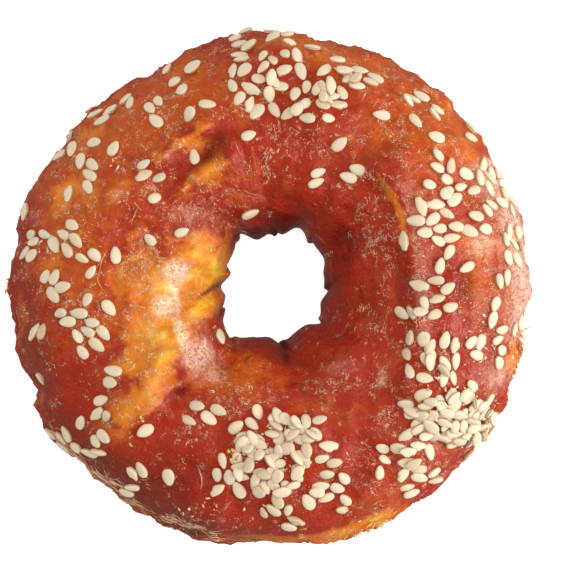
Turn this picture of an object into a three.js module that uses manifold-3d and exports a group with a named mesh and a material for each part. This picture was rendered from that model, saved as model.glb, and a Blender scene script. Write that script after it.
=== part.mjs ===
// Sesame bagel: one ring of folded, glazed crust with sesame seeds stuck to its top.
// Millimetres, +Z up. The origin is the middle of the hole, on the surface that the ring lies on.
// Seen from above, +X is right and +Y is up. Angles in plan run counter-clockwise from +X.
// Round the ring's thickness, 0 is the outermost point, a quarter turn the top and half a turn the hole.
import * as THREE from "three";
import { mergeVertices } from "three/addons/utils/BufferGeometryUtils.js";
import Module from "manifold-3d";

const TURN = 2 * Math.PI;
const DEGREE = Math.PI / 180;

// ---- Driving dimensions ----
const WIDEST_LEVEL = 14; // height of the ring's widest level above the table
const RISE = 18.3; // from that level up to the top of the crust
const DROP = 15.6; // from that level down to where the round underside would end, below the table
const ROUNDNESS = 2.25; // 2 is an ellipse; more is squarer
// Distances from the middle, at even angles round the ring: every 30 degrees to the outer edge, and every
// 15 degrees to the wall of the hole, which is more ragged.
const OUTER_EDGE = [49.6, 49.6, 48.7, 48.8, 46.8, 48.6, 49.3, 50.0, 49.6, 49.8, 50.0, 50.2];
const HOLE_EDGE = [
  11.6, 10.8, 11.3, 11.7, 12.6, 10.0, 10.1, 9.6, 11.4, 10.2, 9.2, 9.0,
  10.4, 9.2, 10.3, 12.0, 11.9, 10.0, 9.8, 11.4, 11.2, 10.8, 12.2, 11.2,
];
const STEPS_ROUND_RING = 80;
const STEPS_ROUND_TUBE = 26;

// ---- Relief of the crust ----
// A fold's crest runs through its points, in plan. It falls off over `left` millimetres on the left of its
// way and over `right` on the right of it: a small number is a steep edge. A negative height is a crease.
const FOLDS = [
  { crest: [[-21.0, 23.4], [-17.8, 26.2], [-12.4, 29.8]], height: 1.5, left: 3.0, right: 1.4 },
  { crest: [[-16.8, 18.4], [-12.6, 21.6], [-7.6, 23.8]], height: 1.5, left: 2.4, right: 2.0 },
  { crest: [[-18.6, 3.4], [-13.0, 7.0], [-9.4, 9.2]], height: 1.4, left: 3.6, right: 4.2 },
  {
    crest: [[-27.6, -24.4], [-21.2, -17.0], [-16.2, -10.6], [-10.4, -2.4]],
    height: 1.9, left: 4.0, right: 1.9,
  },
  { crest: [[-15.4, -17.4], [-12.8, -11.6], [-10.4, -6.4]], height: 1.1, left: 2.0, right: 3.0 },
  { crest: [[-34.5, -31.6], [-26.0, -26.0], [-20.6, -22.6]], height: 1.1, left: 5.0, right: 1.2 },
  { crest: [[21.0, 22.8], [25.4, 13.8], [27.2, 5.5]], height: 1.4, left: 7.5, right: 2.2 },
  { crest: [[27.6, 2.0], [28.0, -8.5], [25.4, -20.6]], height: 0.9, left: 7.5, right: 1.8 },
  { crest: [[-10.8, 26.6], [-16.4, 21.2]], height: -1.2, left: 1.5, right: 1.5 },
  { crest: [[-10.6, -0.2], [-15.4, -3.6]], height: -1.3, left: 1.3, right: 1.3 },
  { crest: [[3.1, -11.6], [3.8, -17.6]], height: -1.7, left: 1.7, right: 1.7 },
];
const FOLD_FADE = 2.2; // how far a fold runs on past its ends

// Round swellings, or dents where the height is negative.
const BUMPS = [
  { at: [-15.8, -36.8], radius: 2.6, height: 0.6 },
  { at: [4.2, 12.6], radius: 3.2, height: -1.6 },
  { at: [14.8, 8.4], radius: 4.2, height: -1.0 },
  { at: [-16.9, -20.4], radius: 1.9, height: -1.6 },
  { at: [14.0, -17.0], radius: 6.0, height: 0.5 },
  { at: [38.0, 22.0], radius: 8.0, height: 0.6 },
  { at: [34.7, -23.0], radius: 6.5, height: 0.6 },
  { at: [0.5, -31.2], radius: 6.0, height: 0.6 },
];

// Slow waves that make the crust lumpy. A wave vector is in radians for each millimetre.
const LUMPS = [
  { height: 0.28, wave: [0.33, 0.5, -0.17], phase: 0.8 },
  { height: 0.26, wave: [0.33, -0.12, 0.17], phase: 2.3 },
  { height: 0.3, wave: [0.19, -0.41, 0.13], phase: 2.1 },
  { height: 0.14, wave: [0.27, 1.15, -0.31], phase: 1.3 },
  { height: 0.14, wave: [1.15, -0.11, -0.31], phase: 4.0 },
];

// The crust is wound on in strips whose edges overlap, so each strip rises to its own edge and then drops.
const STRIPS = 9;
const STRIP_TWIST = 2; // strips passed in one turn round the tube
const STRIP_EDGE = 0.12; // share of a strip's width in which it drops
const STRIP_STEP = 1.2;
const STEP_SHARE_ON_TOP = 0.25; // the glaze fills the steps there
// The levels between which the steps grow shallow, and the folds and bumps grow to their full height, where 0
// is the widest level and 1 the top.
const STEPS_FADE = [-0.1, 0.6];
const RELIEF_FADE = [-0.15, 0.45];
// The strips' edges wander, in strip widths, by waves round the ring and round the tube.
const STRIP_WANDER = [
  { share: 0.12, ring: 3, tube: 0, phase: 1.0 },
  { share: 0.1, ring: 5, tube: 2, phase: 0.0 },
];

// Frayed ends that stand out at the outer edge: direction in plan, level, length and width.
const SHREDS = [
  { angle: 180.0, level: 11.0, length: 1.9, width: 2.6 },
  { angle: 190.5, level: 12.5, length: 1.7, width: 3.0 },
  { angle: 349.5, level: 12.0, length: 3.0, width: 1.7 },
  { angle: 345.0, level: 9.5, length: 1.6, width: 3.4 },
  { angle: 293.5, level: 12.0, length: 1.8, width: 3.2 },
  { angle: 298.0, level: 10.0, length: 1.4, width: 2.6 },
  { angle: 221.0, level: 9.0, length: 1.6, width: 2.8 },
];
const SHRED_THICKNESS = 1.1;
const SHRED_ROOT = 2.2; // how far its foot is sunk into the crust

// ---- Sesame seeds ----
const SEED_LENGTH = 3.3;
const SEED_WIDTH = 2.05;
const SEED_STANDS_OUT = 0.85; // above the crust
const SEED_SUNK = 0.7; // into the crust
const SEED_RIM = -0.12; // its widest level, just under the crust
const SEED_TAPER = 0.3; // how much narrower than its middle it is at its tip, and wider at its blunt end
const SMALLEST_SEED = 0.86; // of the full size
const SEED_SPREAD = 0.26; // from the smallest to the largest
const SEED_REACH = 0.62; // a seed's two ends, from its middle, each with the room below round it
const SEED_ROOM = 1.75;
const PILE_LAYERS = 3;
const TRIES = 14; // places drawn for each seed before a patch counts as full
const SEED_DRAW = 20240611;

// Patches of seeds, in plan: x, y, half length, half width, turn, how many, and the seeds' mean heading and
// how far it strays to each side. Angles are in degrees.
const SEED_PATCHES = [
  // the top of the ring
  [-4.6, 47, 2.4, 1.8, 10, 6, 15, 25], [0.4, 47.4, 1.2, 1, 0, 2, 40, 50], [3.5, 46.8, 1, 1.2, 0, 2, 25, 20],
  [-4.2, 40.4, 1.6, 1.4, 0, 2, 60, 15], [-0.4, 41.2, 1.4, 0.9, 0, 3, 70, 25],
  [-1.6, 38, 3.2, 1.4, -10, 4, -60, 60], [-4, 34.6, 1.2, 1.6, 0, 3, 50, 12],
  [5.4, 42.2, 0.7, 2.6, 8, 3, -75, 12], [7.2, 37.8, 2.2, 1.2, 0, 3, 60, 30],
  [5.9, 34.2, 1.2, 1.6, 0, 3, 30, 50], [11.4, 36, 2.8, 2.4, 0, 9, -40, 50],
  [15.2, 38.2, 1.6, 2.4, 0, 5, 40, 50], [19.3, 37.7, 1.8, 0.6, 0, 2, -40, 40],
  [9.2, 31.6, 2, 0.8, 0, 2, -15, 50], [16.3, 22, 0.5, 2, 0, 2, 0, 28], [8.8, 21.7, 0.5, 1.4, 0, 2, 0, 18],
  // the upper left
  [-17.4, 38, 1, 0.8, 0, 2, 65, 12], [-21.4, 32, 2.4, 0.7, -50, 3, -45, 20],
  [-32.2, 33.4, 1.8, 1.6, 0, 4, 25, 20], [-27.2, 34.8, 1.4, 0.6, 0, 2, 60, 40],
  [-33.6, 21, 1.5, 1, -50, 3, -50, 35], [-22.4, 21.2, 2.2, 1.1, 0, 3, 15, 35],
  [-43.8, 9.2, 2.2, 1, 0, 3, 0, 25], [-38.2, 8.4, 2.4, 1.5, -20, 5, -45, 25],
  [-34.8, 6, 2.2, 0.9, 0, 2, -10, 40], [-43, 5.4, 3, 0.8, -10, 2, 20, 40],
  [-42.4, 1.4, 4, 0.9, -10, 3, 20, 50],
  // the lower left
  [-38.6, -5.6, 1.8, 1.3, 0, 3, 10, 30], [-34.4, -8, 1.8, 1.4, 0, 4, -40, 45],
  [-43.1, -9.4, 0.6, 1.8, 0, 2, 85, 20], [-29.2, -17.9, 0.6, 1.2, 0, 2, 0, 15],
  [-32.4, -23.3, 1.8, 1.1, 0, 3, 0, 45], [-39.2, -27.3, 3.2, 0.6, -50, 4, -45, 12],
  [-31.6, -28.9, 2.2, 1, -10, 4, 0, 35], [-25, -34.9, 1.6, 0.6, -20, 2, -72, 8],
  [-26.1, -38.9, 0.5, 1.4, 0, 2, 10, 20], [-12, -22.8, 3.6, 0.5, -8, 3, -30, 18],
  // the pile at the bottom and what trails from it
  [0.6, -32.6, 7, 6, 0, 48, -60, 80], [4.5, -27, 4.6, 2.4, -15, 14, -20, 60],
  [-5.6, -27.6, 1.2, 1.2, 0, 2, 60, 40], [-2.4, -26, 1, 2, 0, 2, -60, 30],
  [-6.8, -35.2, 1, 3, 0, 4, -80, 20], [10.2, -33.6, 2.4, 1.6, 0, 3, 0, 40],
  [11, -38.7, 3.2, 0.9, 0, 4, 10, 30], [14, -40.9, 1, 1.6, 0, 2, -30, 40],
  [1.4, -41.2, 0.8, 2.8, -15, 4, -70, 30], [5, -44.4, 1.8, 0.4, 0, 2, 0, 35],
  // the pile at the lower right and what lies round it
  [34.5, -25, 8, 4.6, -10, 60, 0, 80], [34, -21.4, 4.4, 1.4, 0, 6, 0, 60],
  [26, -30, 2.4, 0.8, 5, 4, 20, 40], [22, -33.8, 0.7, 2.2, 0, 3, -60, 30],
  [26.6, -34.4, 2.2, 1.6, 20, 5, 20, 45], [31, -34.9, 0.7, 1.4, 0, 2, 0, 25],
  [26.7, -39, 0.5, 1.8, 0, 2, 18, 6], [31, -14.8, 3.6, 2.2, -10, 8, 90, 30],
  [35.6, -14.4, 0.7, 2, 0, 2, 85, 15], [30, -10.2, 3.4, 1, 5, 4, 68, 10],
  [38.9, -11.6, 2, 1.4, 0, 3, 20, 60], [44.4, -10.2, 1.8, 0.7, 0, 2, 5, 20],
  [43.9, -14.7, 0.6, 1.8, 0, 2, -25, 40], [42.1, -4.9, 0.6, 2.2, 0, 2, 80, 35],
  [34, -4.6, 2.4, 1.6, 45, 3, 22, 10], [26.8, -4.9, 2, 0.8, 0, 3, -10, 40],
  // the right and the upper right
  [43.2, 1, 1.6, 0.4, 0, 2, 85, 8], [46.4, 7, 1.6, 3.6, 0, 8, -70, 35], [33.6, 10.9, 1.6, 1.2, 0, 3, 0, 30],
  [37.7, 10.8, 1.4, 0.6, 0, 2, -10, 50], [29.3, 10.1, 1.6, 0.6, 10, 2, 25, 30],
  [27.3, 12.4, 1.4, 0.6, 0, 2, -30, 40], [33.4, 13.4, 2.4, 0.7, 0, 2, -30, 30],
  [33.6, 15.9, 1.6, 0.9, -25, 2, 32, 6], [44, 16.2, 2.8, 2, -30, 7, -40, 30],
  [36.2, 17.8, 1.8, 0.9, 15, 2, 10, 30], [42.8, 21, 1.8, 2.4, 0, 6, -80, 30],
  [38.6, 21.2, 1.6, 1.2, -30, 2, 0, 30], [33.6, 22, 2.4, 1.2, 0, 3, -60, 40],
  [38.9, 28.2, 0.5, 2.6, 10, 2, -45, 20], [32.2, 34.3, 1, 2.2, -20, 2, -38, 14],
  [25.2, 35.4, 2.8, 1.2, -10, 3, -38, 16],
];
// Single seeds: x, y and heading.
const LONE_SEEDS = [
  [-19.4, 41.6, 70], [-14.5, 41.9, 25], [-11.5, 34.1, -10], [-14.8, 32.4, 60], [-38.2, 28.8, 20],
  [-33, 27.1, -10], [-37.6, 26.1, -80], [-29.2, 25.9, 60], [-40.2, 24.8, 20], [-35.4, 23.4, -80],
  [-38.2, 17.6, 80], [-21.5, 16.6, 25], [-14, 24.2, -80], [-46, 14, 75], [-16.6, 10.3, 20],
  [-22.3, 8.8, -45], [-29, 5.8, -80], [-33.6, 2.6, 60], [-3.8, 28.3, 15], [-3.6, 13.9, 20],
  [-6.7, 37.6, -75], [1.2, 33.4, -55], [0, 36.2, -75], [1.9, 37.7, -10], [3, 40.8, 20], [10.3, 40.6, 40],
  [8.2, 45.2, -15], [13, 43, 15], [17.4, 41.2, -15], [21.3, 32.4, -5], [27.8, 31, -60], [31.2, 27.7, -15],
  [13.4, 26.9, 35], [29.8, 18.8, -5], [38.9, 13.1, -10], [25.8, 8.6, -75], [31.6, 8.4, -20],
  [33.8, 6.4, 60], [32.2, 3.8, 80], [31.6, 1.6, 0], [37.4, 3.5, 25], [28.5, 0.1, -15], [33.7, -0.4, 35],
  [29.2, -3.5, -75], [47.1, -8.3, 40], [48.9, -7, -85], [26.3, -13, -60], [29.2, -17.5, -10],
  [38.1, -18.6, -50], [28.8, -20.1, 25], [25.8, -22, 0], [42, -22, 65], [30.2, -31.3, -80],
  [38.3, -31.9, 75], [12.4, -33.2, 15], [14.2, -36.4, -50], [7.4, -40.7, -60], [-9.6, -38.4, 40],
  [-10, -10.2, -70], [-15, -25.5, -35], [-18.9, -36.1, -85], [-23.3, -27.3, 30], [-36.2, -30.2, -10],
  [-35.4, -25.8, 70], [-43.9, -17.8, 75], [-35.3, -12.5, -55], [-31.3, -8.8, -50], [-30.2, -4.1, -55],
  [-34.2, -2.6, 65], [-40.7, -1.7, -45],
];

// ---- Small helpers ----
// Park and Miller's generator, so that each run draws the same seeds.
function makeDraw(start) {
  let state = start;
  return () => {
    state = (state * 16807) % 2147483647;
    return state / 2147483647;
  };
}

// A smooth closed curve through values that are evenly spaced round a turn.
function roundTheRing(values, angle) {
  const count = values.length;
  const place = (((angle / TURN) % 1) + 1) * count;
  const first = Math.floor(place);
  const t = place - first;
  const [a, b, c, d] = [-1, 0, 1, 2].map((step) => values[(first + step + count) % count]);
  return b + 0.5 * t * (c - a + t * (2 * a - 5 * b + 4 * c - d + t * (3 * (b - c) + d - a)));
}

function signedPower(value, power) {
  return Math.sign(value) * Math.abs(value) ** power;
}

function smoothStep(from, to, value) {
  const t = Math.min(1, Math.max(0, (value - from) / (to - from)));
  return t * t * (3 - 2 * t);
}

// ---- The crust's surface ----
function sectionAt(angle) {
  const outer = roundTheRing(OUTER_EDGE, angle);
  const inner = roundTheRing(HOLE_EDGE, angle);
  return { middle: (outer + inner) / 2, half: (outer - inner) / 2 };
}

function foldHeight(fold, x, y) {
  let nearest = Infinity;
  let side = 0;
  let past = 0;
  for (let i = 0; i + 1 < fold.crest.length; i += 1) {
    const [x0, y0] = fold.crest[i];
    const [x1, y1] = fold.crest[i + 1];
    const length = Math.hypot(x1 - x0, y1 - y0);
    const along = ((x - x0) * (x1 - x0) + (y - y0) * (y1 - y0)) / length;
    const across = ((y - y0) * (x1 - x0) - (x - x0) * (y1 - y0)) / length;
    const over = Math.max(0, -along, along - length);
    const distance = Math.hypot(across, over);
    if (distance < nearest) {
      nearest = distance;
      side = across;
      past = over;
    }
  }
  const width = side > 0 ? fold.left : fold.right;
  return fold.height * Math.exp(-((side / width) ** 2) - (past / FOLD_FADE) ** 2);
}

function bumpHeight(bump, x, y) {
  const distance = Math.hypot(x - bump.at[0], y - bump.at[1]);
  return bump.height * Math.exp(-((distance / bump.radius) ** 2));
}

// The mean height over a strip's width is nought, so that the steps leave the ring's size alone.
function stripHeight(angle, roundTube, up) {
  let place = (STRIPS * angle + STRIP_TWIST * roundTube) / TURN;
  for (const { share, ring, tube, phase } of STRIP_WANDER) {
    place += share * Math.sin(ring * angle + tube * roundTube + phase);
  }
  const across = place - Math.floor(place);
  const mean = 0.5 - STRIP_EDGE / 2;
  const height = smoothStep(0, STRIP_EDGE, across) - across - mean;
  const share = STEP_SHARE_ON_TOP + (1 - STEP_SHARE_ON_TOP) * (1 - smoothStep(...STEPS_FADE, up));
  return STRIP_STEP * share * height;
}

function lumpHeight(x, y, z) {
  let total = 0;
  for (const { height, wave, phase } of LUMPS) {
    total += height * Math.sin(wave[0] * x + wave[1] * y + wave[2] * z + phase);
  }
  return total;
}

// The point of the crust at an angle in plan and an angle round the tube.
function crustPoint(angle, roundTube) {
  const { middle, half } = sectionAt(angle);
  const out = Math.cos(roundTube);
  const up = Math.sin(roundTube);
  const tall = up > 0 ? RISE : DROP;
  const distance = middle + half * signedPower(out, 2 / ROUNDNESS);
  const level = WIDEST_LEVEL + tall * signedPower(up, 2 / ROUNDNESS);
  const x = distance * Math.cos(angle);
  const y = distance * Math.sin(angle);
  const onTop = smoothStep(...RELIEF_FADE, up); // folds and bumps belong to the upper side
  let proud = lumpHeight(x, y, level) + stripHeight(angle, roundTube, up);
  for (const fold of FOLDS) proud += onTop * foldHeight(fold, x, y);
  for (const bump of BUMPS) proud += onTop * bumpHeight(bump, x, y);
  const lean = Math.hypot(out * tall, up * half);
  const outwards = (proud * out * tall) / lean;
  return new THREE.Vector3(
    x + outwards * Math.cos(angle),
    y + outwards * Math.sin(angle),
    Math.max(0, level + (proud * up * half) / lean),
  );
}

function crustNormal(angle, roundTube) {
  const step = DEGREE;
  const round = crustPoint(angle + step, roundTube).sub(crustPoint(angle - step, roundTube));
  const over = crustPoint(angle, roundTube + step).sub(crustPoint(angle, roundTube - step));
  return { normal: round.clone().cross(over).normalize(), round: round.normalize() };
}

// The crust is a torus whose vertices are moved onto its surface.
function crustGeometry() {
  const { middle, half } = sectionAt(0);
  const geometry = new THREE.TorusGeometry(middle, half, STEPS_ROUND_TUBE, STEPS_ROUND_RING);
  const position = geometry.getAttribute("position");
  for (let j = 0; j <= STEPS_ROUND_TUBE; j += 1) {
    for (let i = 0; i <= STEPS_ROUND_RING; i += 1) {
      const angle = ((i % STEPS_ROUND_RING) / STEPS_ROUND_RING) * TURN;
      const roundTube = ((j % STEPS_ROUND_TUBE) / STEPS_ROUND_TUBE) * TURN;
      const point = crustPoint(angle, roundTube);
      position.setXYZ(j * (STEPS_ROUND_RING + 1) + i, point.x, point.y, point.z);
    }
  }
  return geometry;
}

// Where the faceted crust lies, so that a seed sits on its flat faces and doesn't float over them.
function facetPoint(angle, roundTube) {
  const ring = (angle / TURN) * STEPS_ROUND_RING;
  const tube = (roundTube / TURN) * STEPS_ROUND_TUBE;
  const [i, j] = [Math.floor(ring), Math.floor(tube)];
  const [u, v] = [ring - i, tube - j];
  const corner = (di, dj) =>
    crustPoint(((i + di) / STEPS_ROUND_RING) * TURN, ((j + dj) / STEPS_ROUND_TUBE) * TURN);
  const side = u > v ? corner(1, 0) : corner(0, 1);
  const [large, small] = u > v ? [u, v] : [v, u];
  const point = corner(0, 0).multiplyScalar(1 - large);
  point.addScaledVector(side, large - small);
  return point.addScaledVector(corner(1, 1), small);
}

// ---- Where the seeds lie ----
// The angle round the tube at a distance from the middle, over the top.
function tubeAngle(angle, distance) {
  const { middle, half } = sectionAt(angle);
  const share = Math.min(1, Math.max(-1, (distance - middle) / half));
  const out = signedPower(share, ROUNDNESS / 2);
  return Math.acos(Math.min(1, Math.max(-1, out)));
}

// A seed's two ends in space, for a heading that is measured from the way round the ring.
function seedEnds(angle, roundTube, heading) {
  const point = crustPoint(angle, roundTube);
  const inwards = Math.sin(roundTube) * Math.sin(heading);
  const reach = new THREE.Vector3(
    -Math.sin(angle) * Math.cos(heading) - Math.cos(angle) * inwards,
    Math.cos(angle) * Math.cos(heading) - Math.sin(angle) * inwards,
    Math.cos(roundTube) * Math.sin(heading),
  ).multiplyScalar(SEED_REACH);
  return [point.clone().add(reach), point.sub(reach)];
}

// The lowest layer in which a seed has room, or -1.
function freeLayer(seeds, ends) {
  for (let layer = 0; layer < PILE_LAYERS; layer += 1) {
    const crowds = (seed) =>
      seed.layer === layer && seed.ends.some((a) => ends.some((b) => a.distanceTo(b) < SEED_ROOM));
    if (!seeds.some(crowds)) return layer;
  }
  return -1;
}

function placeSeeds() {
  const draw = makeDraw(SEED_DRAW);
  const seeds = [];
  // Adds a seed at a place in plan, if it finds room. Its tip points either way along its heading.
  const addSeed = (x, y, heading) => {
    const angle = Math.atan2(y, x);
    const roundTube = tubeAngle(angle, Math.hypot(x, y));
    const way = heading * DEGREE - angle - TURN / 4 + (draw() < 0.5 ? TURN / 2 : 0);
    const size = SMALLEST_SEED + SEED_SPREAD * draw();
    const ends = seedEnds(angle, roundTube, way);
    const layer = freeLayer(seeds, ends);
    if (layer >= 0) seeds.push({ angle, roundTube, heading: way, size, ends, layer });
    return layer >= 0;
  };
  for (const [x, y, heading] of LONE_SEEDS) addSeed(x, y, heading);
  for (const [x, y, long, wide, turn, wanted, heading, spread] of SEED_PATCHES) {
    const [cos, sin] = [Math.cos(turn * DEGREE), Math.sin(turn * DEGREE)];
    for (let made = 0, tries = 0; made < wanted && tries < wanted * TRIES; tries += 1) {
      const way = draw() * TURN;
      const far = Math.sqrt(draw());
      const along = long * far * Math.cos(way);
      const across = wide * far * Math.sin(way);
      const stray = spread * (2 * draw() - 1);
      if (addSeed(x + along * cos - across * sin, y + along * sin + across * cos, heading + stray)) made += 1;
    }
  }
  return seeds;
}

// ---- Solids ----
// A seed lies along x with its tip at -x, and z is up from the crust. It is a coarse sphere with its poles at
// the seed's ends, so that it has a six-sided rim and a short ridge on top.
function seedGeometry() {
  const geometry = new THREE.SphereGeometry(1, 4, 3).rotateZ(Math.PI / 2);
  const position = geometry.getAttribute("position");
  const ridge = Math.sin(Math.PI / 3); // the sphere's radius where the ridge ends
  for (let i = 0; i < position.count; i += 1) {
    const [x, y, z] = [position.getX(i), position.getY(i), position.getZ(i) / ridge];
    const wide = (1 + SEED_TAPER * x) / ridge;
    const level = SEED_RIM + z * (z > 0 ? SEED_STANDS_OUT - SEED_RIM : SEED_SUNK + SEED_RIM);
    position.setXYZ(i, (x * SEED_LENGTH) / 2, (y * wide * SEED_WIDTH) / 2, level);
  }
  return geometry;
}

// A flat pointed flake that lies along x, with its foot sunk behind the origin.
function shredGeometry(shred) {
  const length = shred.length + SHRED_ROOT;
  const geometry = new THREE.ConeGeometry(0.5, length, 4).rotateZ(-Math.PI / 2);
  return geometry.scale(1, shred.width, SHRED_THICKNESS).translate(length / 2 - SHRED_ROOT, 0, 0);
}

function makeSolid(geometry, wasm) {
  const bare = geometry.clone();
  bare.deleteAttribute("normal");
  bare.deleteAttribute("uv");
  const merged = mergeVertices(bare);
  return new wasm.Manifold(
    new wasm.Mesh({
      numProp: 3,
      vertProperties: merged.attributes.position.array,
      triVerts: new Uint32Array(merged.index.array),
    }),
  );
}

function geometryOf(solid) {
  const mesh = solid.getMesh();
  const geometry = new THREE.BufferGeometry();
  geometry.setAttribute("position", new THREE.BufferAttribute(mesh.vertProperties, 3));
  geometry.setIndex(new THREE.BufferAttribute(mesh.triVerts, 1));
  geometry.computeVertexNormals();
  return geometry;
}

function placedSeed(seed, geometry) {
  const { normal, round } = crustNormal(seed.angle, seed.roundTube);
  const turn = new THREE.Matrix4().makeBasis(round, normal.clone().cross(round), normal);
  turn.multiply(new THREE.Matrix4().makeRotationZ(seed.heading));
  turn.multiply(new THREE.Matrix4().makeScale(seed.size, seed.size, 1));
  turn.setPosition(facetPoint(seed.angle, seed.roundTube));
  return geometry.clone().applyMatrix4(turn);
}

function placedShred(shred) {
  const angle = shred.angle * DEGREE;
  const tube = Math.asin((shred.level - WIDEST_LEVEL) / DROP);
  const turn = new THREE.Matrix4().makeRotationZ(angle);
  turn.setPosition(crustPoint(angle, tube));
  return shredGeometry(shred).applyMatrix4(turn);
}

async function fusedBagel() {
  const wasm = await Module();
  wasm.setup();
  let solid = makeSolid(crustGeometry(), wasm);
  const seedShape = seedGeometry();
  // Only the seeds that lie on the crust itself are fused to it. A mound in the crust stands for the rest of a
  // pile.
  for (const seed of placeSeeds()) {
    if (seed.layer === 0) solid = solid.add(makeSolid(placedSeed(seed, seedShape), wasm));
  }
  for (const shred of SHREDS) solid = solid.add(makeSolid(placedShred(shred), wasm));
  // Seeds that lean on each other can seal a small hollow or hang loose, so only the outer body is kept.
  const bodies = solid.decompose().sort((a, b) => b.volume() - a.volume());
  return geometryOf(bodies[0]);
}

const crust = new THREE.MeshStandardMaterial({ color: 0xa8452a, roughness: 0.35, metalness: 0 });

const bagel = new THREE.Mesh(await fusedBagel(), crust);
bagel.name = "sesame_bagel";

const group = new THREE.Group();
group.add(bagel);
export default group;
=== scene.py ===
import math

import bpy
import numpy as np
from bpy.props import FloatProperty, FloatVectorProperty, IntProperty, PointerProperty
from mathutils import Matrix, Vector
from mathutils.bvhtree import BVHTree


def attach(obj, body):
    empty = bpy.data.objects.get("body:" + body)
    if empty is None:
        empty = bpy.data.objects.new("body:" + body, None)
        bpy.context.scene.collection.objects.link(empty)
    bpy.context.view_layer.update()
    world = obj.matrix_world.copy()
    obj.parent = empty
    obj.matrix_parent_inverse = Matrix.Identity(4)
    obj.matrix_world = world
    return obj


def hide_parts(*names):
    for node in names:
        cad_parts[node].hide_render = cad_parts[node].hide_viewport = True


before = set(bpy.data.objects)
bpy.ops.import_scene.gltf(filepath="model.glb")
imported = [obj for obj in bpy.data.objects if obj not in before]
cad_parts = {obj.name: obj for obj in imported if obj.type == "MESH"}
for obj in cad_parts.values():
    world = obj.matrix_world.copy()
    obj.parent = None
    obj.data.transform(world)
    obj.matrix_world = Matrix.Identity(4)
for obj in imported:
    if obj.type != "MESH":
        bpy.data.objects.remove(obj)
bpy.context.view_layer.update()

# A sesame bagel: a ring of glazed crust, wound on in strips, with seeds, fibres and crumbs stuck to it.
# The tables are in millimetres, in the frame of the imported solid, and meshes are made in metres.
# Angles in plan run counter-clockwise from +X. Round the tube, 0 is the outermost point, a quarter turn the
# top and half a turn the hole.

bl_info = {
    "name": "Sesame bagel",
    "version": (1, 0, 0),
    "blender": (4, 5, 0),
    "location": "3D View > Sidebar > Bagel",
    "description": "Builds a glazed sesame bagel round its packed solid",
    "category": "Add Mesh",
}

MM = 0.001
TURN = 2 * math.pi
NODE = "sesame_bagel"
BODY = "root"
MEAN_RADIUS = 0.03  # of the ring, in metres
NEARLY_NONE = 0.00001  # metres, so that nothing is divided by a distance of 0 from the middle
SEAT_REACH = 0.006  # metres above and below the crust's formula in which its finished face is looked for

# ---- The ring ----
WIDEST_LEVEL = 14  # height of the ring's widest level above the table
RISE = 18.3  # from that level up to the top of the crust
DROP = 15.6  # from that level down to where the round underside would end, below the table
ROUNDNESS = 2.25  # 2 is an ellipse; more is squarer
# Distances from the middle, at even angles round the ring, to the outer edge and to the wall of the hole.
OUTER_EDGE = [49.6, 49.6, 48.7, 48.8, 46.8, 48.6, 49.3, 50.0, 49.6, 49.8, 50.0, 50.2]
HOLE_EDGE = [
    11.6, 10.8, 11.3, 11.7, 12.6, 10.0, 10.1, 9.6, 11.4, 10.2, 9.2, 9.0,
    10.4, 9.2, 10.3, 12.0, 11.9, 10.0, 9.8, 11.4, 11.2, 10.8, 12.2, 11.2,
]

# Folds: height, how far they fall off to the left and to the right of their way, and the points in plan that
# their crest runs through. A negative height is a crease.
FOLDS = [
    (1.5, 3, 1.4, [(-21, 23.4), (-17.8, 26.2), (-12.4, 29.8)]),
    (1.5, 2.4, 2, [(-16.8, 18.4), (-12.6, 21.6), (-7.6, 23.8)]),
    (1.4, 3.6, 4.2, [(-18.6, 3.4), (-13, 7), (-9.4, 9.2)]),
    (1.9, 4, 1.9, [(-27.6, -24.4), (-21.2, -17), (-16.2, -10.6), (-10.4, -2.4)]),
    (1.1, 2, 3, [(-15.4, -17.4), (-12.8, -11.6), (-10.4, -6.4)]),
    (1.1, 5, 1.2, [(-34.5, -31.6), (-26, -26), (-20.6, -22.6)]),
    (1.4, 7.5, 2.2, [(21, 22.8), (25.4, 13.8), (27.2, 5.5)]),
    (0.9, 7.5, 1.8, [(27.6, 2), (28, -8.5), (25.4, -20.6)]),
    (-1.2, 1.5, 1.5, [(-10.8, 26.6), (-16.4, 21.2)]),
    (-1.3, 1.3, 1.3, [(-10.6, -0.2), (-15.4, -3.6)]),
    (-1.7, 1.7, 1.7, [(3.1, -11.6), (3.8, -17.6)]),
]
FOLD_FADE = 2.2  # how far a fold runs on past its ends

# Round swellings in plan, or dents where the height is negative: x, y, radius, height.
BUMPS = [
    (-15.8, -36.8, 2.6, 0.6), (4.2, 12.6, 3.2, -1.6), (14.8, 8.4, 4.2, -1), (-16.9, -20.4, 1.9, -1.6),
    (14, -17, 6, 0.5), (38, 22, 8, 0.6), (34.7, -23, 6.5, 0.6), (0.5, -31.2, 6, 0.6),
]

# Slow waves that make the crust lumpy: height, wave vector in radians for each millimetre, phase.
LUMPS = [
    (0.28, (0.33, 0.5, -0.17), 0.8), (0.26, (0.33, -0.12, 0.17), 2.3), (0.3, (0.19, -0.41, 0.13), 2.1),
    (0.14, (0.27, 1.15, -0.31), 1.3), (0.14, (1.15, -0.11, -0.31), 4),
]

# The overlapping strips of the crust.
STRIPS = 9
STRIP_TWIST = 2  # strips passed in one turn round the tube
STRIP_EDGE = 0.12  # share of a strip's width in which it drops
STRIP_STEP = 1.2
STEP_SHARE_ON_TOP = 0.25
# Levels between which the steps grow shallow, and between which folds and bumps grow to their full height.
# Here 0 is the widest level and 1 the top.
STEPS_FADE = (-0.1, 0.6)
RELIEF_FADE = (-0.15, 0.45)
# The strips' edges wander by waves: share of a strip's width, turns round the ring and the tube, phase.
STRIP_WANDER = [(0.12, 3, 0, 1.0), (0.1, 5, 2, 0.0)]

# ---- The skin's finer relief, for which the solid's faces are too large ----
ROW_SHIFT = 0.25  # radians up the tube, so that more of the crust's faces lie on the upper side
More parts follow.
